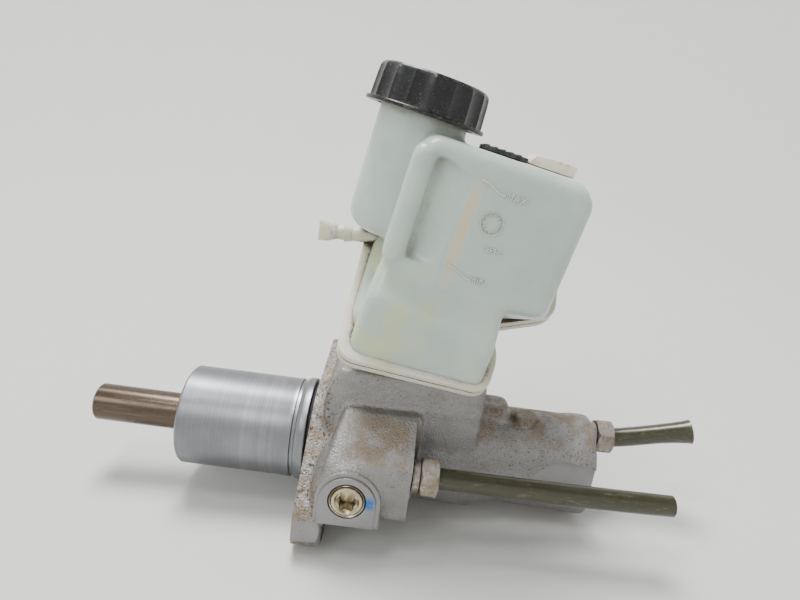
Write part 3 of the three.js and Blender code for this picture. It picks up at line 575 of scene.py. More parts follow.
def wrap(points: Iterable[Point], ball: float = 0.0, fineness: int = 3) -> Mesh:
    """Stretches a skin round points, or round balls on them, so that every edge is rounded.

    Args:
        points: The corners or the balls' centres.
        ball: The balls' radius, or zero for sharp corners.
        fineness: How finely each ball is divided.

    Returns:
        The convex body.
    """
    stock = bmesh.new()
    for point in points:
        if ball > 0.0:
            bmesh.ops.create_icosphere(stock, subdivisions=fineness, radius=ball,
                                       matrix=Matrix.Translation(point))
        else:
            stock.verts.new(point)
    bmesh.ops.delete(stock, geom=list(stock.edges), context="EDGES_FACES")
    bmesh.ops.convex_hull(stock, input=stock.verts, use_existing_faces=False)
    spare = [v for v in stock.verts if not v.link_faces]
    bmesh.ops.delete(stock, geom=spare, context="VERTS")
    return outward(stock)


def box(low: Point, high: Point, edge: float = 0.0, segments: int = 2) -> Mesh:
    """Cuts a block between two corners, its edges rounded by the given amount.

    Args:
        low: The corner with the lowest coordinates.
        high: The opposite corner.
        edge: How far its edges are rounded.
        segments: How many facets each rounded edge has.

    Returns:
        The block.
    """
    stock = bmesh.new()
    size = Vector(high) - Vector(low)
    middle = (Vector(high) + Vector(low)) / 2.0
    bmesh.ops.create_cube(stock, size=1.0, matrix=Matrix.Translation(middle) @ Matrix.Diagonal((*size, 1.0)))
    if edge > 0.0:
        soften(stock, edge, segments)
    return stock


def slab(outline: Sequence[tuple[float, float]], low: float, high: float, axis: Axis = Axis.UP) -> Mesh:
    """Extrudes a flat outline between two stations.

    Args:
        outline: Points in the two directions across the axis, in their usual order.
        low: The lower station.
        high: The higher station.
        axis: The direction it is extruded in.

    Returns:
        The slab.
    """
    def at(u: float, v: float) -> Point:
        """Gives an outline point its place at the lower station."""
        return {Axis.UP: (u, v, low), Axis.SIDE: (u, low, v), Axis.BORE: (low, u, v)}[axis]

    stock = bmesh.new()
    face = stock.faces.new([stock.verts.new(at(u, v)) for u, v in outline])
    raised = bmesh.ops.extrude_face_region(stock, geom=[face], use_keep_orig=True)
    direction = {Axis.UP: Vector((0, 0, 1)), Axis.SIDE: Vector((0, 1, 0)), Axis.BORE: Vector((1, 0, 0))}[axis]
    moved = [g for g in raised["geom"] if isinstance(g, bmesh.types.BMVert)]
    bmesh.ops.translate(stock, vec=direction * (high - low), verts=moved)
    return outward(stock)


def soften(stock: Mesh, width: float, segments: int = 2, sharper_deg: float = 30.0) -> Mesh:
    """Bevels every edge that is sharper than the given angle.

    Args:
        stock: The body to bevel.
        width: How wide the bevel is.
        segments: How many facets it has.
        sharper_deg: The angle that an edge has to pass.

    Returns:
        The same body.
    """
    edges = [e for e in stock.edges if len(e.link_faces) == 2
             and e.calc_face_angle(0.0) > math.radians(sharper_deg)]
    bmesh.ops.bevel(stock, geom=edges, offset=width, segments=segments, profile=0.5, affect="EDGES", material=-1,
                    clamp_overlap=True)
    return stock


def rounded(corners: Sequence[tuple[float, float, float]], steps: int = 8) -> list[tuple[float, float]]:
    """Rounds a polygon's corners.

    Args:
        corners: Points of (u, v, radius).
        steps: How many points each rounded corner has.

    Returns:
        The outline's points.
    """
    outline = []
    for i, (u, v, radius) in enumerate(corners):
        here = Vector((u, v))
        back = (Vector(corners[i - 1][:2]) - here).normalized() * radius
        on = (Vector(corners[(i + 1) % len(corners)][:2]) - here).normalized() * radius
        for k in range(steps + 1):
            t = k / steps
            outline.append(tuple(here + back * (1 - t) ** 2 + on * t ** 2))
    return outline


def regular(sides: int, flats: float, turn: float = 0.0) -> list[tuple[float, float]]:
    """Gives a regular outline of the width across flats given."""
    reach = flats / 2.0 / math.cos(math.pi / sides)
    return [(reach * math.cos(turn + math.tau * i / sides), reach * math.sin(turn + math.tau * i / sides))
            for i in range(sides)]


def moved(stock: Mesh, matrix: Matrix) -> Mesh:
    """Moves a body by a matrix."""
    bmesh.ops.transform(stock, matrix=matrix, verts=stock.verts)
    return stock


def together(bodies: Iterable[Mesh]) -> Mesh:
    """Puts bodies into one mesh, without welding them.

    Args:
        bodies: The bodies, which are used up.

    Returns:
        One body that holds them all.
    """
    whole = bmesh.new()
    for body in bodies:
        part = bpy.data.meshes.new("part")
        body.to_mesh(part)
        body.free()
        whole.from_mesh(part)
        bpy.data.meshes.remove(part)
    return whole


def to_object(stock: Mesh, name: str) -> bpy.types.Object:
    """Makes an object of a body, still in millimetres.

    Args:
        stock: The body, which is used up.
        name: The object's name.

    Returns:
        The object.
    """
    mesh = bpy.data.meshes.new(name)
    stock.to_mesh(mesh)
    stock.free()
    thing = bpy.data.objects.new(name, mesh)
    bpy.context.scene.collection.objects.link(thing)
    return thing


def settle(thing: bpy.types.Object) -> bpy.types.Object:
    """Applies an object's modifiers to its mesh.

    Args:
        thing: The object.

    Returns:
        The same object, with no modifiers left.
    """
    evaluated = thing.evaluated_get(bpy.context.evaluated_depsgraph_get())
    finished = bpy.data.meshes.new_from_object(evaluated)
    thing.modifiers.clear()
    old = thing.data
    thing.data = finished
    bpy.data.meshes.remove(old)
    return thing


def taken(thing: bpy.types.Object) -> Mesh:
    """Takes an object apart into its bare mesh again.

    Args:
        thing: The object, which is removed.

    Returns:
        Its mesh.
    """
    stock = bmesh.new()
    stock.from_mesh(thing.data)
    old = thing.data
    bpy.data.objects.remove(thing)
    bpy.data.meshes.remove(old)
    return stock


def blended(bodies: Iterable[Mesh], name: str, voxel: float, smoothing: int) -> bpy.types.Object:
    """Melts bodies into one skin with filleted corners, as a casting or a moulding has.

    Args:
        bodies: The closed bodies that make up the shape.
        name: The piece's name.
        voxel: The size of the skin's faces, in millimetres.
        smoothing: How many times the skin is relaxed, which sets how wide its fillets are.

    Returns:
        The object, in millimetres.
    """
    thing = to_object(together(bodies), name)
    remesh = thing.modifiers.new("skin", "REMESH")
    remesh.mode = "VOXEL"
    remesh.voxel_size = voxel
    settle(thing)
    skin = bmesh.new()
    skin.from_mesh(thing.data)
    for _ in range(smoothing):
        bmesh.ops.smooth_vert(skin, verts=skin.verts, factor=0.5, use_axis_x=True, use_axis_y=True,
                              use_axis_z=True)
    skin.to_mesh(thing.data)
    skin.free()
    return thing


def machined(thing: bpy.types.Object, tools: Iterable[Mesh], operation: str = "DIFFERENCE") -> bpy.types.Object:
    """Cuts an object with tools, one after the other.

    Args:
        thing: The object to cut.
        tools: The closed bodies to take away from it, add to it or keep of it.
        operation: Blender's name for what is done.

    Returns:
        The same object with its new mesh.
    """
    for tool in tools:
        cutter = to_object(tool, "cutter")
        cut = thing.modifiers.new("cut", "BOOLEAN")
        cut.operation = operation
        cut.solver = "MANIFOLD"
        cut.object = cutter
        settle(thing)
        old = cutter.data
        bpy.data.objects.remove(cutter)
        bpy.data.meshes.remove(old)
    return thing


@dataclass(frozen=True)
class Fitting:
    """Where a finished piece belongs: its body, its material slot and the nodes it stands for."""

    body: str
    slot: str
    nodes: tuple[str, ...] = ()


def finish_piece(thing: bpy.types.Object, place: Matrix, finishes: Sequence[Finish], fitting: Fitting,
                 triangulate: bool = False) -> bpy.types.Object:
    """Puts a piece in its place in the frame, smooths it, paints it and makes it ride.

    Args:
        thing: The piece, in millimetres.
        place: The matrix from its own millimetres to the frame's metres.
        finishes: One finish for each material index its faces use.
        fitting: Its body, slot and nodes.
        triangulate: Whether its faces are cut to triangles.

    Returns:
        The same object.
    """
    mesh = thing.data
    mesh.transform(place)
    if triangulate:
        stock = bmesh.new()
        stock.from_mesh(mesh)
        bmesh.ops.triangulate(stock, faces=stock.faces)
        stock.to_mesh(mesh)
        stock.free()
    indices = [face.material_index for face in mesh.polygons]
    mesh.materials.clear()
    for finish in finishes:
        mesh.materials.append(finish.material())
    mesh.polygons.foreach_set("material_index", indices)
    mesh.polygons.foreach_set("use_smooth", [True] * len(mesh.polygons))
    mesh.set_sharp_from_angle(angle=math.radians(CRISP_DEG))
    mesh.update()
    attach(thing, fitting.body)
    if fitting.nodes:
        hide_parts(*fitting.nodes)
    LOG.info("%s: %d faces, rides on %s", thing.name, len(mesh.polygons), fitting.body)
    return thing


def repaint(thing: bpy.types.Object, index: int, chosen: Iterable[tuple[Point, Point]]) -> None:
    """Gives the faces whose centres lie in boxes another material index, before the piece is placed.

    Args:
        thing: The piece, in millimetres.
        index: The material index to give.
        chosen: The boxes, each as its lowest and highest corners.
    """
    for face in thing.data.polygons:
        for low, high in chosen:
            if all(low[i] <= face.center[i] <= high[i] for i in range(3)):
                face.material_index = index


# ---------------------------------------------------------------- the casting


@dataclass
class Casting:
    """The cast body: flange, barrel, block, side boss and tail, with its machined faces and holes."""

    voxel: float = 0.8
    smoothing: int = 5
    hub: float = 22.0
    ear: float = 11.0
    ear_reach: float = 38.0
    ear_tilt: float = math.radians(27.0)
    flange_front: float = 11.0
    nose: float = 114.0
    plug: tuple[float, float] = PLUG
    pad_face: float = -44.0
    pad_half: float = 10.5
    port_face: float = 41.0
    block_top: float = 37.0
    tail_cut: float = -17.5
    tail_flat: tuple[tuple[float, float], ...] = ((84.5, -10.0), (118.0, -10.0), (118.0, 7.0), (112.5, 8.2),
                                                  (105.0, 9.3), (99.3, 9.3), (95.0, 7.2), (90.8, 4.0), (86.6, 0.2))

    def ears(self) -> list[tuple[float, float]]:
        """Gives the two stud holes' places in Y and Z."""
        y, z = math.cos(self.ear_tilt) * self.ear_reach, math.sin(self.ear_tilt) * self.ear_reach
        return [(y, z), (-y, -z)]

    def flange(self) -> Mesh:
        """Builds the two-eared flange, a little thicker than it will be after facing.

        Returns:
            The body.
        """
        rims = []
        edge = 1.6
        for (y, z), radius in [((0.0, 0.0), self.hub), *((at, self.ear) for at in self.ears())]:
            for x, inward in ((-1.0, 0.0), (self.flange_front - edge, 0.0), (self.flange_front, edge)):
                for k in range(64):
                    turn = math.tau * k / 64
                    reach = radius - inward
                    rims.append((x, y + reach * math.cos(turn), z + reach * math.sin(turn)))
        return wrap(rims)

    def barrel(self) -> list[Mesh]:
        """Builds the barrel, its shoulder, the tapered tail and the rib on top.

        Returns:
            Its bodies, which overlap.
        """
        body = lathe([(3, 0), (3, 23), (66, 23), (75, 20), (104, 20), (108, 20.6), (113, 20.6), (115, 20.4),
                      (115, 0)])
        rib = wrap([(63, -6, 20), (63, 6, 20), (76.5, -5, 20), (76.5, 5, 20), (63, 0, 8), (79, 0, 8)], 3.5)
        gallery = wrap([(70, -2, -16), (112, -2, -15.5), (70, 4, -16), (112, 4, -15.5)], 4.5)
        return [body, rib, gallery]

    def block(self) -> list[Mesh]:
        """Builds the square block under the reservoir, with a raised step along its near side.

        Returns:
            The block and its step.
        """
        r = 2.0
        corners = []
        for y in (-19.0, 19.0):
            corners += [(7, y, 26), (11, y, 36.2), (64, y, 36.2), (7, y, 0), (64, y, 0)]
        step = wrap([(10.5, -20.1, 24.5), (63.2, -20.1, 24.5), (10.5, -20.1, 35), (63.2, -20.1, 35),
                     (10.5, -15, 24.5), (63.2, -15, 35)], 1.3)
        return [wrap(corners, r), step]

    def side_boss(self) -> list[Mesh]:
        """Builds the boss on the near side for the plug and the side outlet, down to the machined pad.

        Returns:
            The boss as one body.
        """
        x1 = self.port_face
        lump = wrap([
            (11, -37, -10.4), (x1, -37, -10.4), (11, -38.5, 8), (x1, -40, 11), (15, -24, 22), (x1, -24, 22.5),
            (11, -10, -10.4), (x1, -10, -10.4), (15, -10, 22), (x1, -10, 22.5),
        ], 2.0)
        drum = wrap([(self.plug[0] + r * math.cos(a), y, self.plug[1] - 1 + r * math.sin(a))
                     for y, r in ((-42.3, 12.2), (-41.5, 12.9), (-18.0, 17.5))
                     for a in (math.tau * k / 48 for k in range(48))])
        pad = slab(self.arch(self.pad_half), self.pad_face + 2.0, self.pad_face + 22.0, Axis.SIDE)
        bodies = [lump, drum, pad]
        floor = box((-5, -60, -40), (60, 5, self.plug[1] - self.pad_half))
        rough = to_object(together(bodies), "boss")
        machined_boss = blended([taken(rough)], "boss", 0.6, 1)
        machined(machined_boss, [floor])
        return [taken(machined_boss)]

    def arch(self, half: float) -> list[tuple[float, float]]:
        """Gives the outline of the pad: square below and round above.

        Args:
            half: Half its width.

        Returns:
            Points in the bore direction and up.
        """
        x, z = self.plug
        crown = [(x + half * math.cos(a), z - 1.4 + half * math.sin(a))
                 for a in (math.pi * k / 24 for k in range(25))]
        return [(x - half, z - half), (x + half, z - half), *crown]

    def lug(self) -> Mesh:
        """Builds the lug that the reservoir is pinned to."""
        return wrap([(x, y, z) for x in (37.9, 42.1) for y in (-3, 3) for z in (30, 40.3)], 1.0)

    def holes(self) -> list[Mesh]:
        """Gives everything that is faced, drilled and bored in the casting.

        Returns:
            The closed bodies to cut away.
        """
        x, z = self.plug
        tools = [
            box((-10, -80, -80), (0, 80, 80)),
            box((self.nose, -60, -60), (self.nose + 20, 60, 60)),
            box((11.2, -60, self.pad_bottom() - 30), (32, -30, self.pad_bottom())),
            box((0, self.pad_face - 20, -40), (60, self.pad_face, 40)),
            box((self.port_face, -60, -30), (self.port_face + 15, -24.5, 30)),
            lathe([(-1, 0), (-1, 16.0), (12.3, 16.0), (12.3, 12.1), (101, 12.1), (102.5, 10.1), (102.5, 0)]),
            rod(self.pad_face - 2, self.pad_face + 3.6, 7.0, Axis.SIDE, (x, z)),
            rod(self.pad_face + 3, -29, 5.2, Axis.SIDE, (x, z)),
            rod(28, self.port_face + 3, 5.2, Axis.BORE, SIDE_PORT),
            rod(106, self.nose + 3, 5.2, Axis.BORE, NOSE_PORT),
            rod(self.nose - 0.8, self.nose + 3, 7.6, Axis.BORE, NOSE_PORT),
            slab(self.tail_flat, -40.0, self.tail_cut, Axis.SIDE),
        ]
        for at in self.ears():
            tools.append(rod(-2, 30, 4.3, Axis.BORE, at))
            tools.append(rod(self.flange_front - 0.6, 30, 8.8, Axis.BORE, at))
        for feed in (25.5, 54.5):
            tools.append(rod(28.5, self.block_top + 3, 9.3, Axis.UP, (feed, 0.0)))
        return tools

    def pad_bottom(self) -> float:
        """Gives the height of the pad's lower edge."""
        return self.plug[1] - self.pad_half

    def raised(self) -> list[Mesh]:
        """Builds what stays crisp on the boss: the pad with its collar, an ejector's mark and the vent boss.

        Returns:
            The closed bodies to add.
        """
        back = self.pad_face + 8.0
        collar = soften(slab(self.arch(self.pad_half + 1.9), self.pad_face + 1.0, back, Axis.SIDE), 0.7)
        pad = soften(slab(self.arch(self.pad_half), self.pad_face, back, Axis.SIDE), 0.25)
        disc = lathe([(-3, 0), (-3, 3.6), (0.1, 3.6), (0.35, 3.4), (0.35, 3.0), (0.1, 2.8), (0.1, 0)])
        lean = Matrix.Rotation(math.radians(-38.0), 4, "X") @ Matrix.Rotation(math.radians(-90.0), 4, "Z")
        vent = rod(8, 21.9, 4.7, Axis.UP, (86.0, -5.0), edge=0.6)
        return [collar, pad, vent, moved(disc, Matrix.Translation((20.2, -36.2, 9.6)) @ lean)]

    def build(self) -> None:
        """Casts the body, machines it and dresses it."""
        bodies = [self.flange(), *self.barrel(), *self.block(), *self.side_boss(), self.lug()]
        piece = blended(bodies, "cast_cylinder_body", self.voxel, self.smoothing)
        machined(piece, self.raised(), "UNION")
        machined(piece, self.holes())
        eps = 0.05      # how far from a machined plane a face's centre may be
        n = self.nose
        repaint(piece, 1, [
            ((-eps, -60, -60), (eps, 60, 60)),
            ((n - 0.9, -60, -60), (n + eps, 60, 60)),
            ((0, self.pad_face - eps, -40), (60, self.pad_face + eps, 40)),
            ((80, self.tail_cut - eps, -12), (self.nose + eps, self.tail_cut + eps, 12)),
            ((self.port_face - eps, -60, -30), (self.port_face + eps, -24.5, 30)),
            ((0, -60, self.pad_bottom() - eps), (32, -30, self.pad_bottom() + eps)),
        ])
        x, z = self.plug
        repaint(piece, 1, [((x - 7.2, self.pad_face, z - 7.2), (x + 7.2, -29, z + 7.2))])
        for y, zz in self.ears():
            repaint(piece, 1, [((self.flange_front - 0.62, y - 8.9, zz - 8.9),
                                (self.flange_front - 0.55, y + 8.9, zz + 8.9)),
                               ((0.0, y - 4.4, zz - 4.4), (11.0, y + 4.4, zz + 4.4))])
        finish_piece(piece, BENCH, [CAST_SKIN, CAST_FACED],
                     Fitting("housing", "cast_aluminium", ("cylinder_body",)), triangulate=True)


# ---------------------------------------------------------------- sleeve and push rod


@dataclass
class Sleeve:
    """The turned sleeve that enters the booster, with its groove and lip."""

    radius: float = 20.4
    lip: float = 21.3
    mouth: float = 14.4
    end: float = -53.5

    def build(self) -> None:
        """Turns the sleeve."""
        r, lip, e = self.radius, self.lip, self.end
        profile = [
            (e + 0.6, self.mouth), (e, self.mouth + 0.6), (e, r - 1.1), (e + 0.35, r - 0.5), (e + 1.1, r),
            (-9.2, r), (-8.9, r + 0.12), (-7.4, r + 0.12), (-7.1, r - 0.55), (-6.0, r - 0.55), (-5.6, r + 0.2),
            (-4.9, r + 0.55), (-4.5, lip - 0.15), (-4.2, lip), (-1.9, lip), (-1.5, lip - 0.4), (-1.5, 15.7),
            (12.0, 15.7), (12.0, 12.1), (-16.0, 12.1), (-16.0, self.mouth), (e + 0.6, self.mouth),
        ]
        piece = to_object(lathe(profile, steps=128), "turned_booster_sleeve")
        finish_piece(piece, BENCH, [TURNED], Fitting("housing", "turned_aluminium", ("booster_sleeve",)))


@dataclass
class PushRod:
    """The rear piston with its long stem, whose hollow tip takes the booster's push rod."""

    radius: float = 7.65
    tip: float = -93.0
    piston: float = 11.8

    def build(self) -> None:
        """Turns the stem and the piston in one piece."""
        t, r, p = self.tip, self.radius, self.piston
        profile = [
            (t + 12, 0), (t + 10.5, 4.0), (t + 10, 4.5), (t + 1.1, 4.5), (t + 0.3, 5.1), (t, 5.5), (t, r - 1.0),
            (t + 0.25, r - 0.5), (t + 0.9, r), (-15.7, r), (-15.7, p - 0.6), (-15.1, p), (4.4, p), (5, p - 0.6),
            (5, 7.5), (11.5, 7.5), (12, 7.0), (12, 0),
        ]
        piece = to_object(lathe(profile), "hard_anodised_push_rod")
        repaint(piece, 1, [((t - 1, -9, -9), (t + 0.3, 9, 9)), ((t - 1, -5, -5), (t + 1.2, 5, 5))])
        finish_piece(piece, BENCH, [HARD_ANODISED, WORN_TIP],
                     Fitting("primary_piston", "bronze_anodised", ("primary_piston",)))


# ---------------------------------------------------------------- plug, nuts and pipes


@dataclass
class Outlets:
    """The plug in the pad, the two pipe nuts and their cut-off pipes."""

    plug: tuple[float, float] = PLUG
    side: tuple[float, float] = SIDE_PORT
    nose: tuple[float, float] = NOSE_PORT
    pipe: float = 4.0
    bore: float = 2.6
    rings: int = 32

    def plug_screw(self) -> None:
        """Turns the plug with its bright rim and sinks its six-lobed socket."""
        profile = [(-44.5, 0), (-44.5, 5.0), (-44.3, 5.5), (-43.7, 5.75), (-43.9, 6.0), (-44.2, 6.35), (-43.8, 6.6),
                   (-41.8, 6.6), (-41.8, 4.9), (-34, 4.9), (-34, 0)]
        piece = to_object(lathe(profile, Axis.SIDE, self.plug), "socket_plug")
        lobes = []
        for k in range(72):
            turn = math.tau * k / 72
            reach = 3.75 + 0.42 * math.cos(6 * turn)
            lobes.append((self.plug[0] + reach * math.cos(turn), self.plug[1] + reach * math.sin(turn)))
        machined(piece, [slab(lobes, -46.0, -39.4, Axis.SIDE),
                         lathe([(-45, 0), (-45, 4.9), (-44.4, 4.5), (-43.7, 3.9), (-43.7, 0)], Axis.SIDE,
                               self.plug)])
        finish_piece(piece, BENCH, [ZINC_BRIGHT], Fitting("housing", "zinc_steel", ("plug_screw",)))

    def nut(self, name: str, node: str, at: tuple[float, float], face: float, start: float, end: float,
            shank: float) -> None:
        """Makes a pipe nut: hexagon with turned chamfers, collar and shank.

        Args:
            name: The piece's name.
            node: The node it stands for.
            at: The port's axis in Y and Z.
            face: Where the casting's face is along the bore.
            start: Where the hexagon starts.
            end: Where the hexagon ends.
            shank: Where the shank starts inside the port.
        """
        hexagon = to_object(slab(regular(6, 13.0, math.pi / 6.0), start, end, Axis.BORE), name)
        cone = lathe([(start, 0), (start, 6.5), (start + 0.7, 7.4), (end - 1.0, 7.6), (end, 6.3), (end, 0)])
        machined(hexagon, [cone], "INTERSECT")
        machined(hexagon, [
            lathe([(face + 0.3, 0), (face + 0.3, 5.5), (face + 0.6, 5.8), (start - 0.5, 5.8), (start - 0.2, 5.5),
                   (start + 0.5, 5.5), (start + 0.5, 0)], steps=SMALL_ROUND),
            rod(shank, start + 0.4, 4.9, Axis.BORE, (0.0, 0.0)),
        ], "UNION")
        machined(hexagon, [lathe([(shank - 1, 0), (shank - 1, 4.2), (end - 0.6, 4.2), (end + 0.2, 4.9),
                                  (end + 0.2, 0)], steps=SMALL_ROUND)])
        hexagon.data.transform(Matrix.Translation((0.0, *at)))
        finish_piece(hexagon, BENCH, [ZINC_DULL], Fitting("housing", "zinc_steel", (node,)))

    def pipe_along(self, name: str, node: str, route: Sequence[Point], flare: float, squash: float) -> None:
        """Draws a pipe along a smooth route, with its open end turned in on itself.

        Args:
            name: The piece's name.
            node: The node it stands for.
            route: The points it passes, from the port outwards.
            flare: How much wider its end is than the rest.
            squash: How much flatter its end is than it is wide.
        """
        stations = []
        path = self.smooth(route, 48)
        for i, point in enumerate(path):
            ahead = path[min(i + 1, len(path) - 1)] - path[max(i - 1, 0)]
            t = i / (len(path) - 1)
            wide = 1.0 + flare * max(0.0, (t - 0.72) / 0.28) ** 2
            flat = 1.0 - squash * max(0.0, (t - 0.72) / 0.28) ** 2
            stations.append((point, ahead.normalized(), self.pipe * wide, flat))
        point, ahead, radius, flat = stations[-1]
        inner = self.bore * radius / self.pipe
        stations.append((point + ahead * 0.25, ahead, radius * 0.93, flat))
        stations.append((point + ahead * 0.2, ahead, inner * 1.08, flat))
        stations.append((point - ahead * 0.3, ahead, inner, flat))
        stations.append((point - ahead * 9.0, ahead, inner, flat))
        stock = bmesh.new()
        bmesh.ops.create_circle(stock, cap_ends=False, segments=self.rings, radius=1.0,
                                matrix=Matrix.Rotation(math.radians(90.0), 4, "Y"))
        before = Matrix.Identity(4)
        ring = list(stock.edges)
        for i, (at, along, wide, flat) in enumerate(stations):
            lean = Vector((1, 0, 0)).rotation_difference(along).to_matrix().to_4x4()
            here = Matrix.Translation(at) @ lean @ Matrix.Diagonal((1.0, wide, wide * flat, 1.0))
            if i > 0:
                grown = bmesh.ops.extrude_edge_only(stock, edges=ring)["geom"]
                ring = [g for g in grown if isinstance(g, bmesh.types.BMEdge)
                        and all(v in grown for v in g.verts)]
                points = [g for g in grown if isinstance(g, bmesh.types.BMVert)]
            else:
                points = list(stock.verts)
            bmesh.ops.transform(stock, matrix=here @ before.inverted(), verts=points)
            before = here
        bmesh.ops.holes_fill(stock, edges=[e for e in stock.edges if e.is_boundary], sides=0)
        outward(stock)
        piece = to_object(stock, name)
        tip = path[-1]
        for face in piece.data.polygons:
            reach = (face.center - tip).dot(ahead)
            off = ((face.center - tip) - ahead * reach).length
            if reach > -0.35 or (reach > -9.4 and off < inner * 1.2):
                face.material_index = 1
        finish_piece(piece, BENCH, [OLIVE_COATING, SAWN_STEEL], Fitting("housing", "pipe_coating", (node,)))

    @staticmethod
    def smooth(route: Sequence[Point], count: int) -> list[Vector]:
        """Gives evenly numbered points on a smooth line through a route.

        Args:
            route: The points to pass.
            count: How many points are wanted.

        Returns:
            The points of the smooth curve.
        """
        points = [Vector(p) for p in route]
        line = []
        spans = len(points) - 1
        for i in range(count + 1):
            t = i / count * spans
            k = min(int(t), spans - 1)
            u = t - k
            a, b, c, d = (points[min(max(k + j, 0), spans)] for j in (-1, 0, 1, 2))
            line.append(0.5 * ((2 * b) + (c - a) * u + (2 * a - 5 * b + 4 * c - d) * u ** 2
                               + (3 * b - a - 3 * c + d) * u ** 3))
        return line

    def build(self) -> None:
        """Makes the plug, the nuts and the pipes."""
        self.plug_screw()
        self.nut("side_pipe_nut", "side_outlet_nut", self.side, 41.0, 44.5, 51.1, 30.0)
        self.nut("nose_pipe_nut", "nose_outlet_nut", self.nose, 114.0, 118.5, 125.5, 108.0)
        y, z = self.side
        self.pipe_along("side_pipe", "side_brake_pipe", [
            (34, y, z), (46, y, z), (60, y, z), (85, y - 0.2, z + 0.2), (112, y - 0.3, z + 0.6),
            (137.7, y - 0.5, z + 1.4)], 0.0, 0.05)
        y, z = self.nose
        self.pipe_along("nose_pipe", "nose_brake_pipe", [
            (110, y, z), (117, y, z), (126, y, z + 0.2), (135, y - 0.3, z + 2.2), (146, y - 1, z + 5.4),
            (157.2, y - 2, z + 8.5)], 0.2, -0.08)


# ---------------------------------------------------------------- the reservoir


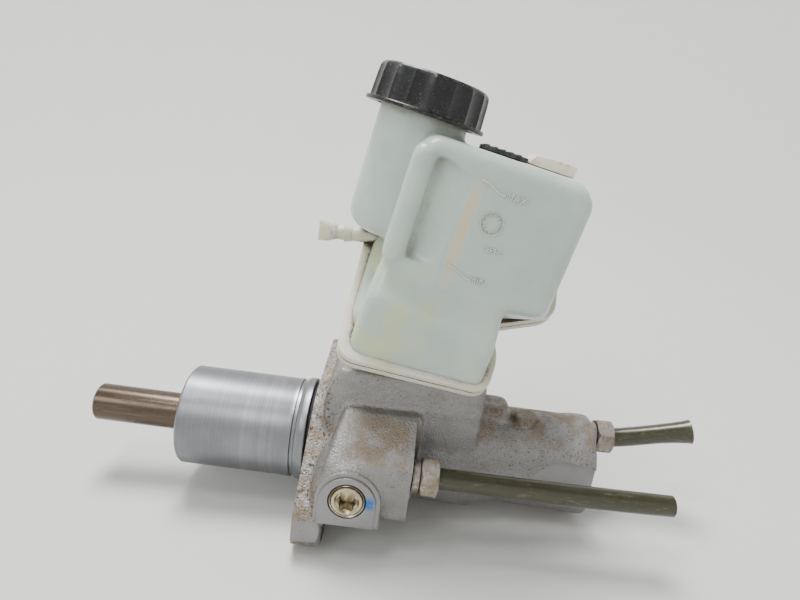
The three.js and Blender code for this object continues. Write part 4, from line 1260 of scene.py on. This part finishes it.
@dataclass
class Reservoir:
    """The two moulded halves with their welded rim, the bleed nozzle, the level marks and the grommets."""

    voxel: float = 0.8
    smoothing: int = 7
    wall: float = 2.2
    neck: float = -25.5
    neck_radius: float = 16.5
    rim_z: float = 99.5
    seam: Point = (0.0, -30.0, 6.1)
    slope: float = math.radians(36.0)
    lip: float = 2.75
    front: float = -28.0

    def skin(self) -> bpy.types.Object:
        """Melts the tank's boxes, rib and filler column into one closed skin.

        Returns:
            The closed skin, in the tank's own millimetres.
        """
        chamber = wrap([(-21.3, -30, 26.5), (18.8, -30, 23), (-20.5, -23, 37), (18.8, -23, 33), (-22.3, -30, 4),
                        (19.4, -28.6, 8), (-22.3, -15, 4), (19.4, -15, 8)], 4.2)
        main = wrap([(-18, -22, 78.3), (30.5, -22, 78.3), (32.5, -22, 76.3), (32, -22, 40.5), (-18, -22, 34),
                     (-20, 18, 78.3), (38.5, 18, 78.3), (40.5, 18, 76.3), (40.5, 18, 40), (-20, 18, 30)], 6.0)
        base = wrap([(-23.5, -20, 15), (-24, 10, 40), (-24, 17, 41), (-23.5, 17, 24), (-23.5, -20, 8),
                     (39, 17, 41), (14, -8, 18), (14, 2, 12), (39, 8, 40)], 5.5)
        tray_low = [tuple(INTO_TANK @ Vector(p))
                    for p in ((21, -21, 47), (57, -21, 47), (21, 14, 47), (57, 14, 47))]
        tray = wrap([*tray_low, (-20, -15, 15), (16, -15, 15), (-20, 15, 34), (22, 15, 35)], 5.0)
        skirt = wrap([(21, -4, 29), (38, 3, 33), (21, -20, 36), (35, -20, 38), (38, 14, 38), (21, 14, 34)], 4.0)
        rib = wrap([(-21.6, -27.2, 43), (-21.6, -27.2, 77), (-21, -20, 43), (-21, -20, 77)], 3.9)
        corner = 8.0
        column = [(43.0, 0.0)]
        for k in range(9):
            turn = math.pi / 2 * k / 8
            column.append((51.0 - corner * math.cos(turn), self.neck_radius - corner + corner * math.sin(turn)))
        column += [(self.rim_z + 2, self.neck_radius), (self.rim_z + 2, 0.0)]
        filler = lathe(column, Axis.UP, (self.neck, 0.0), steps=72)
        recess = wrap([(-16.6, -24.4, 43.5), (-16.6, -24.4, 77.0), (-7.5, -28.4, 43.5), (-2.5, -28.9, 74.0),
                       (-16.6, -36, 43.5), (-16.6, -36, 77.0), (-6.5, -36, 42.0), (-1.5, -36, 77.0)], 0.8)
        piece = blended([chamber, main, base, tray, skirt, rib, filler], "reservoir_upper", self.voxel, 2)
        machined(piece, [recess])
        whole = blended([taken(piece)], "reservoir_upper", self.voxel, self.smoothing)
        return whole

    def half(self, skin: bpy.types.Object, name: str, upper: bool) -> Mesh:
        """Keeps one side of the seam, opens the neck, and gives the skin its wall.

        Args:
            skin: The closed skin.
            name: The new piece's name.
            upper: Whether the upper side is kept.

        Returns:
            The open shell with its wall.
        """
        stock = bmesh.new()
        stock.from_mesh(skin.data)
        normal = Vector((0.0, -math.sin(self.slope), math.cos(self.slope)))
        offset = normal * (0.12 if upper else -0.12)
        bmesh.ops.bisect_plane(stock, geom=[*stock.verts, *stock.edges, *stock.faces],
                               plane_co=Vector(self.seam) + offset, plane_no=normal, clear_inner=upper,
                               clear_outer=not upper)
        if upper:
            bmesh.ops.bisect_plane(stock, geom=[*stock.verts, *stock.edges, *stock.faces],
                                   plane_co=(0, 0, self.rim_z), plane_no=(0, 0, 1), clear_outer=True)
        bmesh.ops.recalc_face_normals(stock, faces=stock.faces)
        shell = to_object(stock, name)
        thick = shell.modifiers.new("wall", "SOLIDIFY")
        thick.thickness = self.wall
        thick.offset = -1.0
        settle(shell)
        return taken(shell)

    def rim(self, low: float, high: float, inset: float) -> Mesh:
        """Builds one half of the welded rim: a plate round the tank, open in the middle.

        Args:
            low: The plate's lower face, measured from the seam.
            high: The plate's upper face.
            inset: How much its outline is drawn in.

        Returns:
            The plate with rounded edges.
        """
        corners = [(-29.5, -7, 8), (25.5, -2.8, 6), (28, 14, 6), (23.2, 26.5, 3), (49, 41, 7), (50, 67.5, 8),
                   (-34.5, 67.5, 8)]
        outline = rounded(corners)
        plate = slab(outline, low, high)
        bmesh.ops.bevel(plate, geom=[e for e in plate.edges if abs(e.verts[0].co.z - e.verts[1].co.z) < 1e-4],
                        offset=0.55, segments=3, profile=0.5, affect="EDGES", material=-1, clamp_overlap=True)
        if inset > 0.0:
            middle = Vector((5.0, 32.0, 0.0))
            shrink = Matrix.Translation(middle) @ Matrix.Diagonal((1 - inset / 40, 1 - inset / 37, 1, 1)) \
                @ Matrix.Translation(-middle)
            moved(plate, shrink)
        opening = slab(rounded([(-20, 6, 5), (15, 8, 5), (14, 28, 4), (36, 46, 5), (38, 58, 6), (-24, 58, 6)]),
                       low - 1, high + 1)
        thing = to_object(plate, "rim")
        machined(thing, [opening])
        lie = Matrix.Translation(self.seam) @ Matrix.Rotation(self.slope, 4, "X")
        return moved(taken(thing), lie)

    def spout(self) -> Mesh:
        """Builds the closed bleed nozzle: a barbed stem pinched flat at its tip.

        Returns:
            The nozzle.
        """
        stem = lathe([(-1.5, 0), (-1.5, 2.9), (3.0, 2.9), (3.2, 3.1), (3.4, 3.7), (6.2, 3.1), (6.4, 2.9),
                      (17.0, 3.0), (19.0, 3.6), (20.0, 0)], steps=SMALL_ROUND)
        pinch = wrap([(0.5, 2.9 * math.cos(a), 2.9 * math.sin(a)) for a in (math.tau * k / 24 for k in range(24))]
                     + [(x, y, side * 4.1) for x in (-3.6, -7.1) for y in (-0.75, 0.75) for side in (-1, 1)])
        soften(pinch, 0.3, 2, 40.0)
        nozzle = together([stem, pinch])
        moved(nozzle, Matrix.Translation((0.0, 8.0, 84.3)))
        return moved(nozzle, INTO_TANK)

    def marks(self) -> Mesh:
        """Raises the level marks, a moulding dial and a material mark on the front.

        Returns:
            The marks as one body.
        """
        raised = []
        for words, x, z, size in (("MAX", 8.2, 71.6, 3.4), ("MIN", 6.4, 41.4, 3.2), (">PP<", 7.6, 53.0, 3.0)):
            raised.append(self.letters(words, x, z, size))
        for x, z in ((-0.6, 75.0), (-1.8, 44.6)):
            for k in range(12):
                u = k / 11
                raised.append(moved(box((-0.45, self.front - 0.3, -0.4), (0.45, self.front + 0.6, 0.4), 0.2),
                                    Matrix.Translation((x + 8.4 * u, 0.0, z - 2.6 * u * u * (3.0 - 2.0 * u)))))
        raised.append(moved(lathe([(0, 3.9), (0, 3.6), (0.35, 3.6), (0.35, 3.9), (0, 3.9)]),
                            self.facing(7.0, 62.5)))
        for k in range(12):
            spoke = box((-0.18, 2.3, -0.05), (0.18, 3.3, 0.35))
            moved(spoke, Matrix.Rotation(math.tau * k / 12, 4, "Z"))
            raised.append(moved(spoke, Matrix.Translation((7.0, self.front, 62.5))
                                @ Matrix.Rotation(math.radians(90.0), 4, "X")))
        return together(raised)

    def facing(self, x: float, z: float) -> Matrix:
        """Gives the matrix that lays the bore direction out of the tank's front, at a place on it."""
        return Matrix.Translation((x, self.front, z)) @ Matrix.Rotation(math.radians(-90.0), 4, "Z")

    def letters(self, words: str, x: float, z: float, size: float) -> Mesh:
        """Cuts plain letters to stand on the tank's front.

        Args:
            words: What they say.
            x: Where they start.
            z: The height of their foot.
            size: Their height in millimetres.

        Returns:
            The letters' mesh.
        """
        curve = bpy.data.curves.new("letters", "FONT")
        curve.body = words
        curve.size = size
        curve.extrude = 0.18
        curve.bevel_depth = 0.06
        curve.bevel_resolution = 1
        thing = bpy.data.objects.new("letters", curve)
        bpy.context.scene.collection.objects.link(thing)
        evaluated = thing.evaluated_get(bpy.context.evaluated_depsgraph_get())
        mesh = bpy.data.meshes.new_from_object(evaluated)
        stock = bmesh.new()
        stock.from_mesh(mesh)
        bpy.data.objects.remove(thing)
        bpy.data.curves.remove(curve)
        bpy.data.meshes.remove(mesh)
        bmesh.ops.remove_doubles(stock, verts=stock.verts, dist=1e-4)
        return moved(stock, Matrix.Translation((x, self.front - 0.05, z))
                     @ Matrix.Rotation(math.radians(90.0), 4, "X"))

    def feet(self) -> Mesh:
        """Builds the spigots that enter the grommets and the two pinned tabs, in the bench frame.

        Returns:
            The bodies, in the tank's own millimetres.
        """
        bodies = [tube(30, 44.5, 4.2, 6.0, Axis.UP, (x, 0.0)) for x in (25.5, 54.5)]
        bodies += [box((37, y, 37.4), (43, y + 2.0, 43.5), 0.4) for y in (-6.4, 4.4)]
        return moved(together(bodies), INTO_TANK)

    def grommet(self, name: str, node: str, x: float) -> None:
        """Turns one rubber grommet with its bead."""
        piece = to_object(lathe([
            (28.8, 6.3), (28.8, 8.4), (29.4, 9.0), (37.3, 9.0), (37.3, 10.6), (37.6, 11.0), (38.6, 11.0),
            (39.1, 10.5), (39.1, 6.5), (38.9, 6.3), (28.8, 6.3)], Axis.UP, (x, 0.0)), name)
        finish_piece(piece, BENCH, [RUBBER], Fitting("housing", "rubber", (node,)))

    def build(self) -> None:
        """Moulds both halves, welds their rims and adds what is moulded on."""
        skin = self.skin()
        upper_shell = self.half(skin, "upper", True)
        lower_shell = self.half(skin, "lower", False)
        taken(skin).free()
        baffle = box((-2.4, -26.5, 40), (-0.6, 12, 77), 0.3)
        upper_rim = self.rim(0.15, self.lip, 0.0)
        lower_rim = self.rim(-self.lip, -0.15, 0.0)
        self.join_shell("reservoir_upper_half", [[upper_shell, baffle], [upper_rim, self.spout()], [self.marks()]],
                        "reservoir_upper_shell")
        self.join_shell("reservoir_lower_half", [[lower_shell, self.feet()], [lower_rim]], "reservoir_lower_shell")
        self.grommet("rear_feed_grommet", "rear_grommet", 25.5)
        self.grommet("front_feed_grommet", "front_grommet", 54.5)

    def join_shell(self, name: str, groups: list[list[Mesh]], node: str) -> None:
        """Puts one half's bodies together as a piece: those of the wall, then of the rim, then the marks.

        Args:
            name: The piece's name.
            groups: The bodies of the wall, then those of the rim, then the marks.
            node: The node that the piece stands for.
        """
        for index, bodies in enumerate(groups):
            for face in (face for body in bodies for face in body.faces):
                face.material_index = index
        piece = to_object(together([body for bodies in groups for body in bodies]), name)
        # The marks get the wall's plastic painted lighter: a painted highlight.
        finish_piece(piece, TANK, [TANK_WALL, TANK_RIM, PAINTED_LIGHT_MARK][:len(groups)],
                     Fitting("housing", "tank_plastic", (node,)))


@dataclass
class ScrewCap:
    """The fluted cap, with a scuffed top.

    A known fault: every extrusion keeps the face that it starts from, so four floors stay inside the wall.
    Blender then refuses both cuts with only a warning, and the cap is neither hollow nor dished.
    """

    flutes: int = 18
    per_flute: int = 10
    foot: float = 88.6
    ring_top: float = 90.3
    top: float = 102.4
    neck: float = -25.5

    def wall(self, z: float, radius: float, depth: float) -> list[Point]:
        """Gives the outline of the fluted wall at one height.

        Args:
            z: The height.
            radius: The radius at the ridges.
            depth: How deep the flutes are.

        Returns:
            The outline's points.
        """
        count = self.flutes * self.per_flute
        outline = []
        for k in range(count):
            turn = math.tau * (k + 0.5 * self.per_flute) / count
            across_flute = (k % self.per_flute) / self.per_flute
            hollow = depth * math.sin(math.pi * across_flute) ** 0.7
            outline.append(((radius - hollow) * math.cos(turn), (radius - hollow) * math.sin(turn), z))
        return outline

    def build(self) -> None:
        """Raises the fluted wall, asks for the two cuts that are refused, and adds the ring."""
        stock = bmesh.new()
        heights = [(self.ring_top - 0.3, 21.2, 0.85), (92.0, 21.1, 0.95), (98.5, 20.7, 0.9), (100.9, 20.4, 0.75),
                   (101.8, 19.9, 0.3), (self.top, 19.1, 0.0)]
        face = stock.faces.new([stock.verts.new(p) for p in self.wall(*heights[0])])
        for z, radius, depth in heights[1:]:
            grown = bmesh.ops.extrude_face_region(stock, geom=[face])["geom"]
            face = next(g for g in grown if isinstance(g, bmesh.types.BMFace))
            for vert, place in zip(face.verts, self.wall(z, radius, depth)):
                vert.co = place
        outward(stock)
        piece = to_object(stock, "fluted_screw_cap")
        dish = lathe([(self.top + 1, 0), (self.top + 1, 17.8), (self.top, 17.6), (self.top - 0.5, 17.1),
                      (self.top - 0.5, 0)], Axis.UP)
        hollow = lathe([(self.foot - 1, 0), (self.foot - 1, 18.6), (self.foot + 0.4, 18.2), (self.top - 1.5, 18.2),
                        (self.top - 1.5, 0)], Axis.UP)
        machined(piece, [dish, hollow])
        ring = lathe([(self.foot, 18.4), (self.foot, 22.2), (self.foot + 0.2, 22.45), (self.ring_top - 0.6, 22.45),
                      (self.ring_top - 0.3, 22.2), (self.ring_top - 0.1, 20.8), (self.ring_top - 0.1, 18.4),
                      (self.foot, 18.4)], Axis.UP)
        piece = to_object(together([taken(piece), ring]), "fluted_screw_cap")
        piece.data.transform(Matrix.Translation((self.neck, 0.0, 0.0)))
        finish_piece(piece, TANK, [CAP_PLASTIC], Fitting("cap", "cap_plastic", ("cap_shell",)))


@dataclass
class LevelSensor:
    """What stands on the reservoir's roof: the ribbed black strip and the cream connector."""

    roof: float = 84.3

    def strip(self) -> None:
        """Moulds the ribbed strip with rounded edges."""
        low = self.roof + 0.3
        plate = slab(rounded([(-2.5, -12, 2), (14.2, -12, 2), (14.2, 6, 2), (-2.5, 6, 2)]), low, low + 1.7)
        soften(plate, 0.35, 2, 60.0)
        ribs = [box((x, -9.4, low + 1.2), (x + 1.2, 3.2, low + 2.1), 0.25) for x in (-1.4, 1.6, 4.6, 7.6, 10.6)]
        piece = to_object(together([plate, *ribs]), "sensor_strip")
        finish_piece(piece, TANK, [STRIP_PLASTIC], Fitting("housing", "cap_plastic", ("sensor_cover_strip",)))

    def connector(self) -> None:
        """Moulds the connector: a sloped housing, notched on top, with its socket towards the nose."""
        low = self.roof + 0.6
        body = wrap([(15.6, y, low + 0.4) for y in (-6.4, 6.4)] + [(32.3, y, low + 0.4) for y in (-6.4, 6.4)]
                    + [(17.6, y, low + 3.3) for y in (-5.6, 5.6)] + [(21.5, y, low + 3.8) for y in (-5.6, 5.6)]
                    + [(32.3, y, low + 3.8) for y in (-5.6, 5.6)], 0.45, 2)
        piece = to_object(body, "sensor_socket")
        tools = [box((25, -5.3, low + 0.9), (35, 5.3, low + 3.1))]
        tools += [box((x, -8, low + 3.2), (x + 1.3, 8, low + 6)) for x in (25.6, 28.6)]
        tools += [box((27.5, y - 0.8, low + 2.5), (34, y + 0.8, low + 6)) for y in (-3.4, 0.0, 3.4)]
        machined(piece, tools)
        finish_piece(piece, TANK, [SENSOR_PLASTIC], Fitting("housing", "connector_plastic", ("sensor_connector",)))

    def build(self) -> None:
        """Makes the strip and the connector."""
        self.strip()
        self.connector()


# ---------------------------------------------------------------- the rest of the frame and the stage


def dress_frame() -> None:
    """Gives every node that still shows its own slot's finish."""
    slots = {row["node"]: row["material_slot"] for row in frame["record"]["subparts"]}
    for name, thing in frame["nodes"].items():
        if thing.hide_render:
            continue
        finish = SLOT_FINISH[slots[name]]
        if not thing.material_slots:
            thing.data.materials.append(finish.material())
        for place in thing.material_slots:
            place.link = "OBJECT"
            place.material = finish.material()


@dataclass
class Springs:
    """The two return springs, which on the real part close as the pistons go in; here they ride on their bodies
    unchanged.

    A known fault: both spans lie 3 mm nearer the nose than the coils do, so the coils leave their seats at
    full stroke.
    """

    primary: tuple[float, float] = (14.2, 43.7)
    secondary: tuple[float, float] = (84.2, 103.6)
    stroke: float = 26.0
    slack: float = 1.5      # how much further a coil closes than the pistons' travel asks

    def build(self) -> None:
        """Copies both coils from the frame, finishes them and sets each to ride on its body."""
        for name, body, span, seat in (("primary", "primary_piston", self.primary, self.primary[0]),
                                       ("secondary", "housing", self.secondary, self.secondary[1])):
            stock = bmesh.new()
            stock.from_mesh(frame["nodes"][f"{name}_spring"].data)
            bmesh.ops.remove_doubles(stock, verts=stock.verts, dist=1e-6)
            piece = finish_piece(to_object(stock, f"{name}_return_coil"), Matrix.Identity(4), [BARE_STEEL],
                                 Fitting(body, "steel", (f"{name}_spring",)))
            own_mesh(piece)


@dataclass
class Studio:
    """The pale floor with its swept walls, the soft lights and the camera."""

    eye: Point = (0.0287, -0.2205, 0.1249)
    pitch: float = math.radians(16.0)
    roll: float = math.radians(7.4)
    lens: float = 25.875
    sweep_start: float = 0.8
    sweep_radius: float = 0.7
    wall_height: float = 0.8
    lie: Point = (0.051, 0.0758, -0.0264)   # the floor's slopes along X and Y, and its height at the origin
    sky: float = 0.35
    aim: Point = (0.03, 0.0, 0.05)
    lamps: tuple[tuple[str, Point, float, float], ...] = (
        ("over", (-0.35, 0.45, 2.1), 0.9, 78.0),
        ("front", (-0.7, -1.0, 0.9), 0.5, 4.0),
        ("near", (-0.16, -0.2, 0.55), 0.16, 1.1),
    )

    def camera(self) -> None:
        """Sets the camera where the object is looked at from."""
        data = bpy.data.cameras.new("camera")
        data.lens = self.lens
        data.sensor_width = 36.0
        data.clip_start = 0.005
        data.dof.use_dof = False
        camera = bpy.data.objects.new("camera", data)
        bpy.context.scene.collection.objects.link(camera)
        camera.matrix_world = (Matrix.Translation(self.eye)
                               @ Matrix.Rotation(math.radians(90.0) - self.pitch, 4, "X")
                               @ Matrix.Rotation(self.roll, 4, "Z"))
        bpy.context.scene.camera = camera

    def floor(self) -> None:
        """Lays the floor through the three places that the part stands on, and sweeps it up all round."""
        bowl = [(0.0, 0.0), (0.0, 0.5 * self.sweep_start), (0.0, self.sweep_start)]
        for k in range(1, 25):
            turn = math.pi / 2 * k / 24
            bowl.append((self.sweep_radius * (1.0 - math.cos(turn)),
                         self.sweep_start + self.sweep_radius * math.sin(turn)))
        bowl.append((self.sweep_radius + self.wall_height, self.sweep_start + self.sweep_radius))
        stock = bmesh.new()
        verts = [stock.verts.new((radius, 0.0, rise)) for rise, radius in bowl]
        edges = [stock.edges.new(pair) for pair in zip(verts, verts[1:])]
        bmesh.ops.spin(stock, geom=[*verts, *edges], angle=math.tau, steps=ROUND, axis=(0, 0, 1), cent=(0, 0, 0),
                       use_merge=True)
        bmesh.ops.remove_doubles(stock, verts=stock.verts, dist=1e-5)
        for vert in stock.verts:
            vert.co.z += self.lie[2] + self.lie[0] * vert.co.x + self.lie[1] * vert.co.y
        for face in stock.faces:
            face.smooth = True
        mesh = bpy.data.meshes.new("floor")
        stock.to_mesh(mesh)
        stock.free()
        floor = bpy.data.objects.new("floor", mesh)
        bpy.context.scene.collection.objects.link(floor)
        mesh.materials.append(Finish("pale_floor", "c9c9c7", 0.75).material())

    def lights(self) -> None:
        """Hangs one broad soft light over the object, a weaker one in front and a small one near it."""
        world = bpy.data.worlds.new("studio")
        world.use_nodes = True
        world.node_tree.nodes["Background"].inputs["Color"].default_value = linear("d8dadd")
        world.node_tree.nodes["Background"].inputs["Strength"].default_value = self.sky
        bpy.context.scene.world = world
        for name, place, size, power in self.lamps:
            data = bpy.data.lights.new(name, "AREA")
            data.size = size
            data.energy = power
            light = bpy.data.objects.new(name, data)
            bpy.context.scene.collection.objects.link(light)
            toward = Vector(self.aim) - Vector(place)
            light.matrix_world = Matrix.Translation(place) @ toward.to_track_quat("-Z", "Y").to_matrix().to_4x4()

    def build(self) -> None:
        """Sets up the whole studio."""
        self.camera()
        self.floor()
        self.lights()


def main() -> None:
    """Builds every sub-assembly in order."""
    logging.basicConfig(level=logging.INFO, format="%(message)s")
    for assembly in (Studio(), Casting(), Sleeve(), PushRod(), Outlets(), Reservoir(), ScrewCap(), LevelSensor(),
                     Springs()):
        LOG.info("building %s", type(assembly).__name__)
        assembly.build()
    dress_frame()
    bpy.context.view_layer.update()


if __name__ == "__main__":
    main()
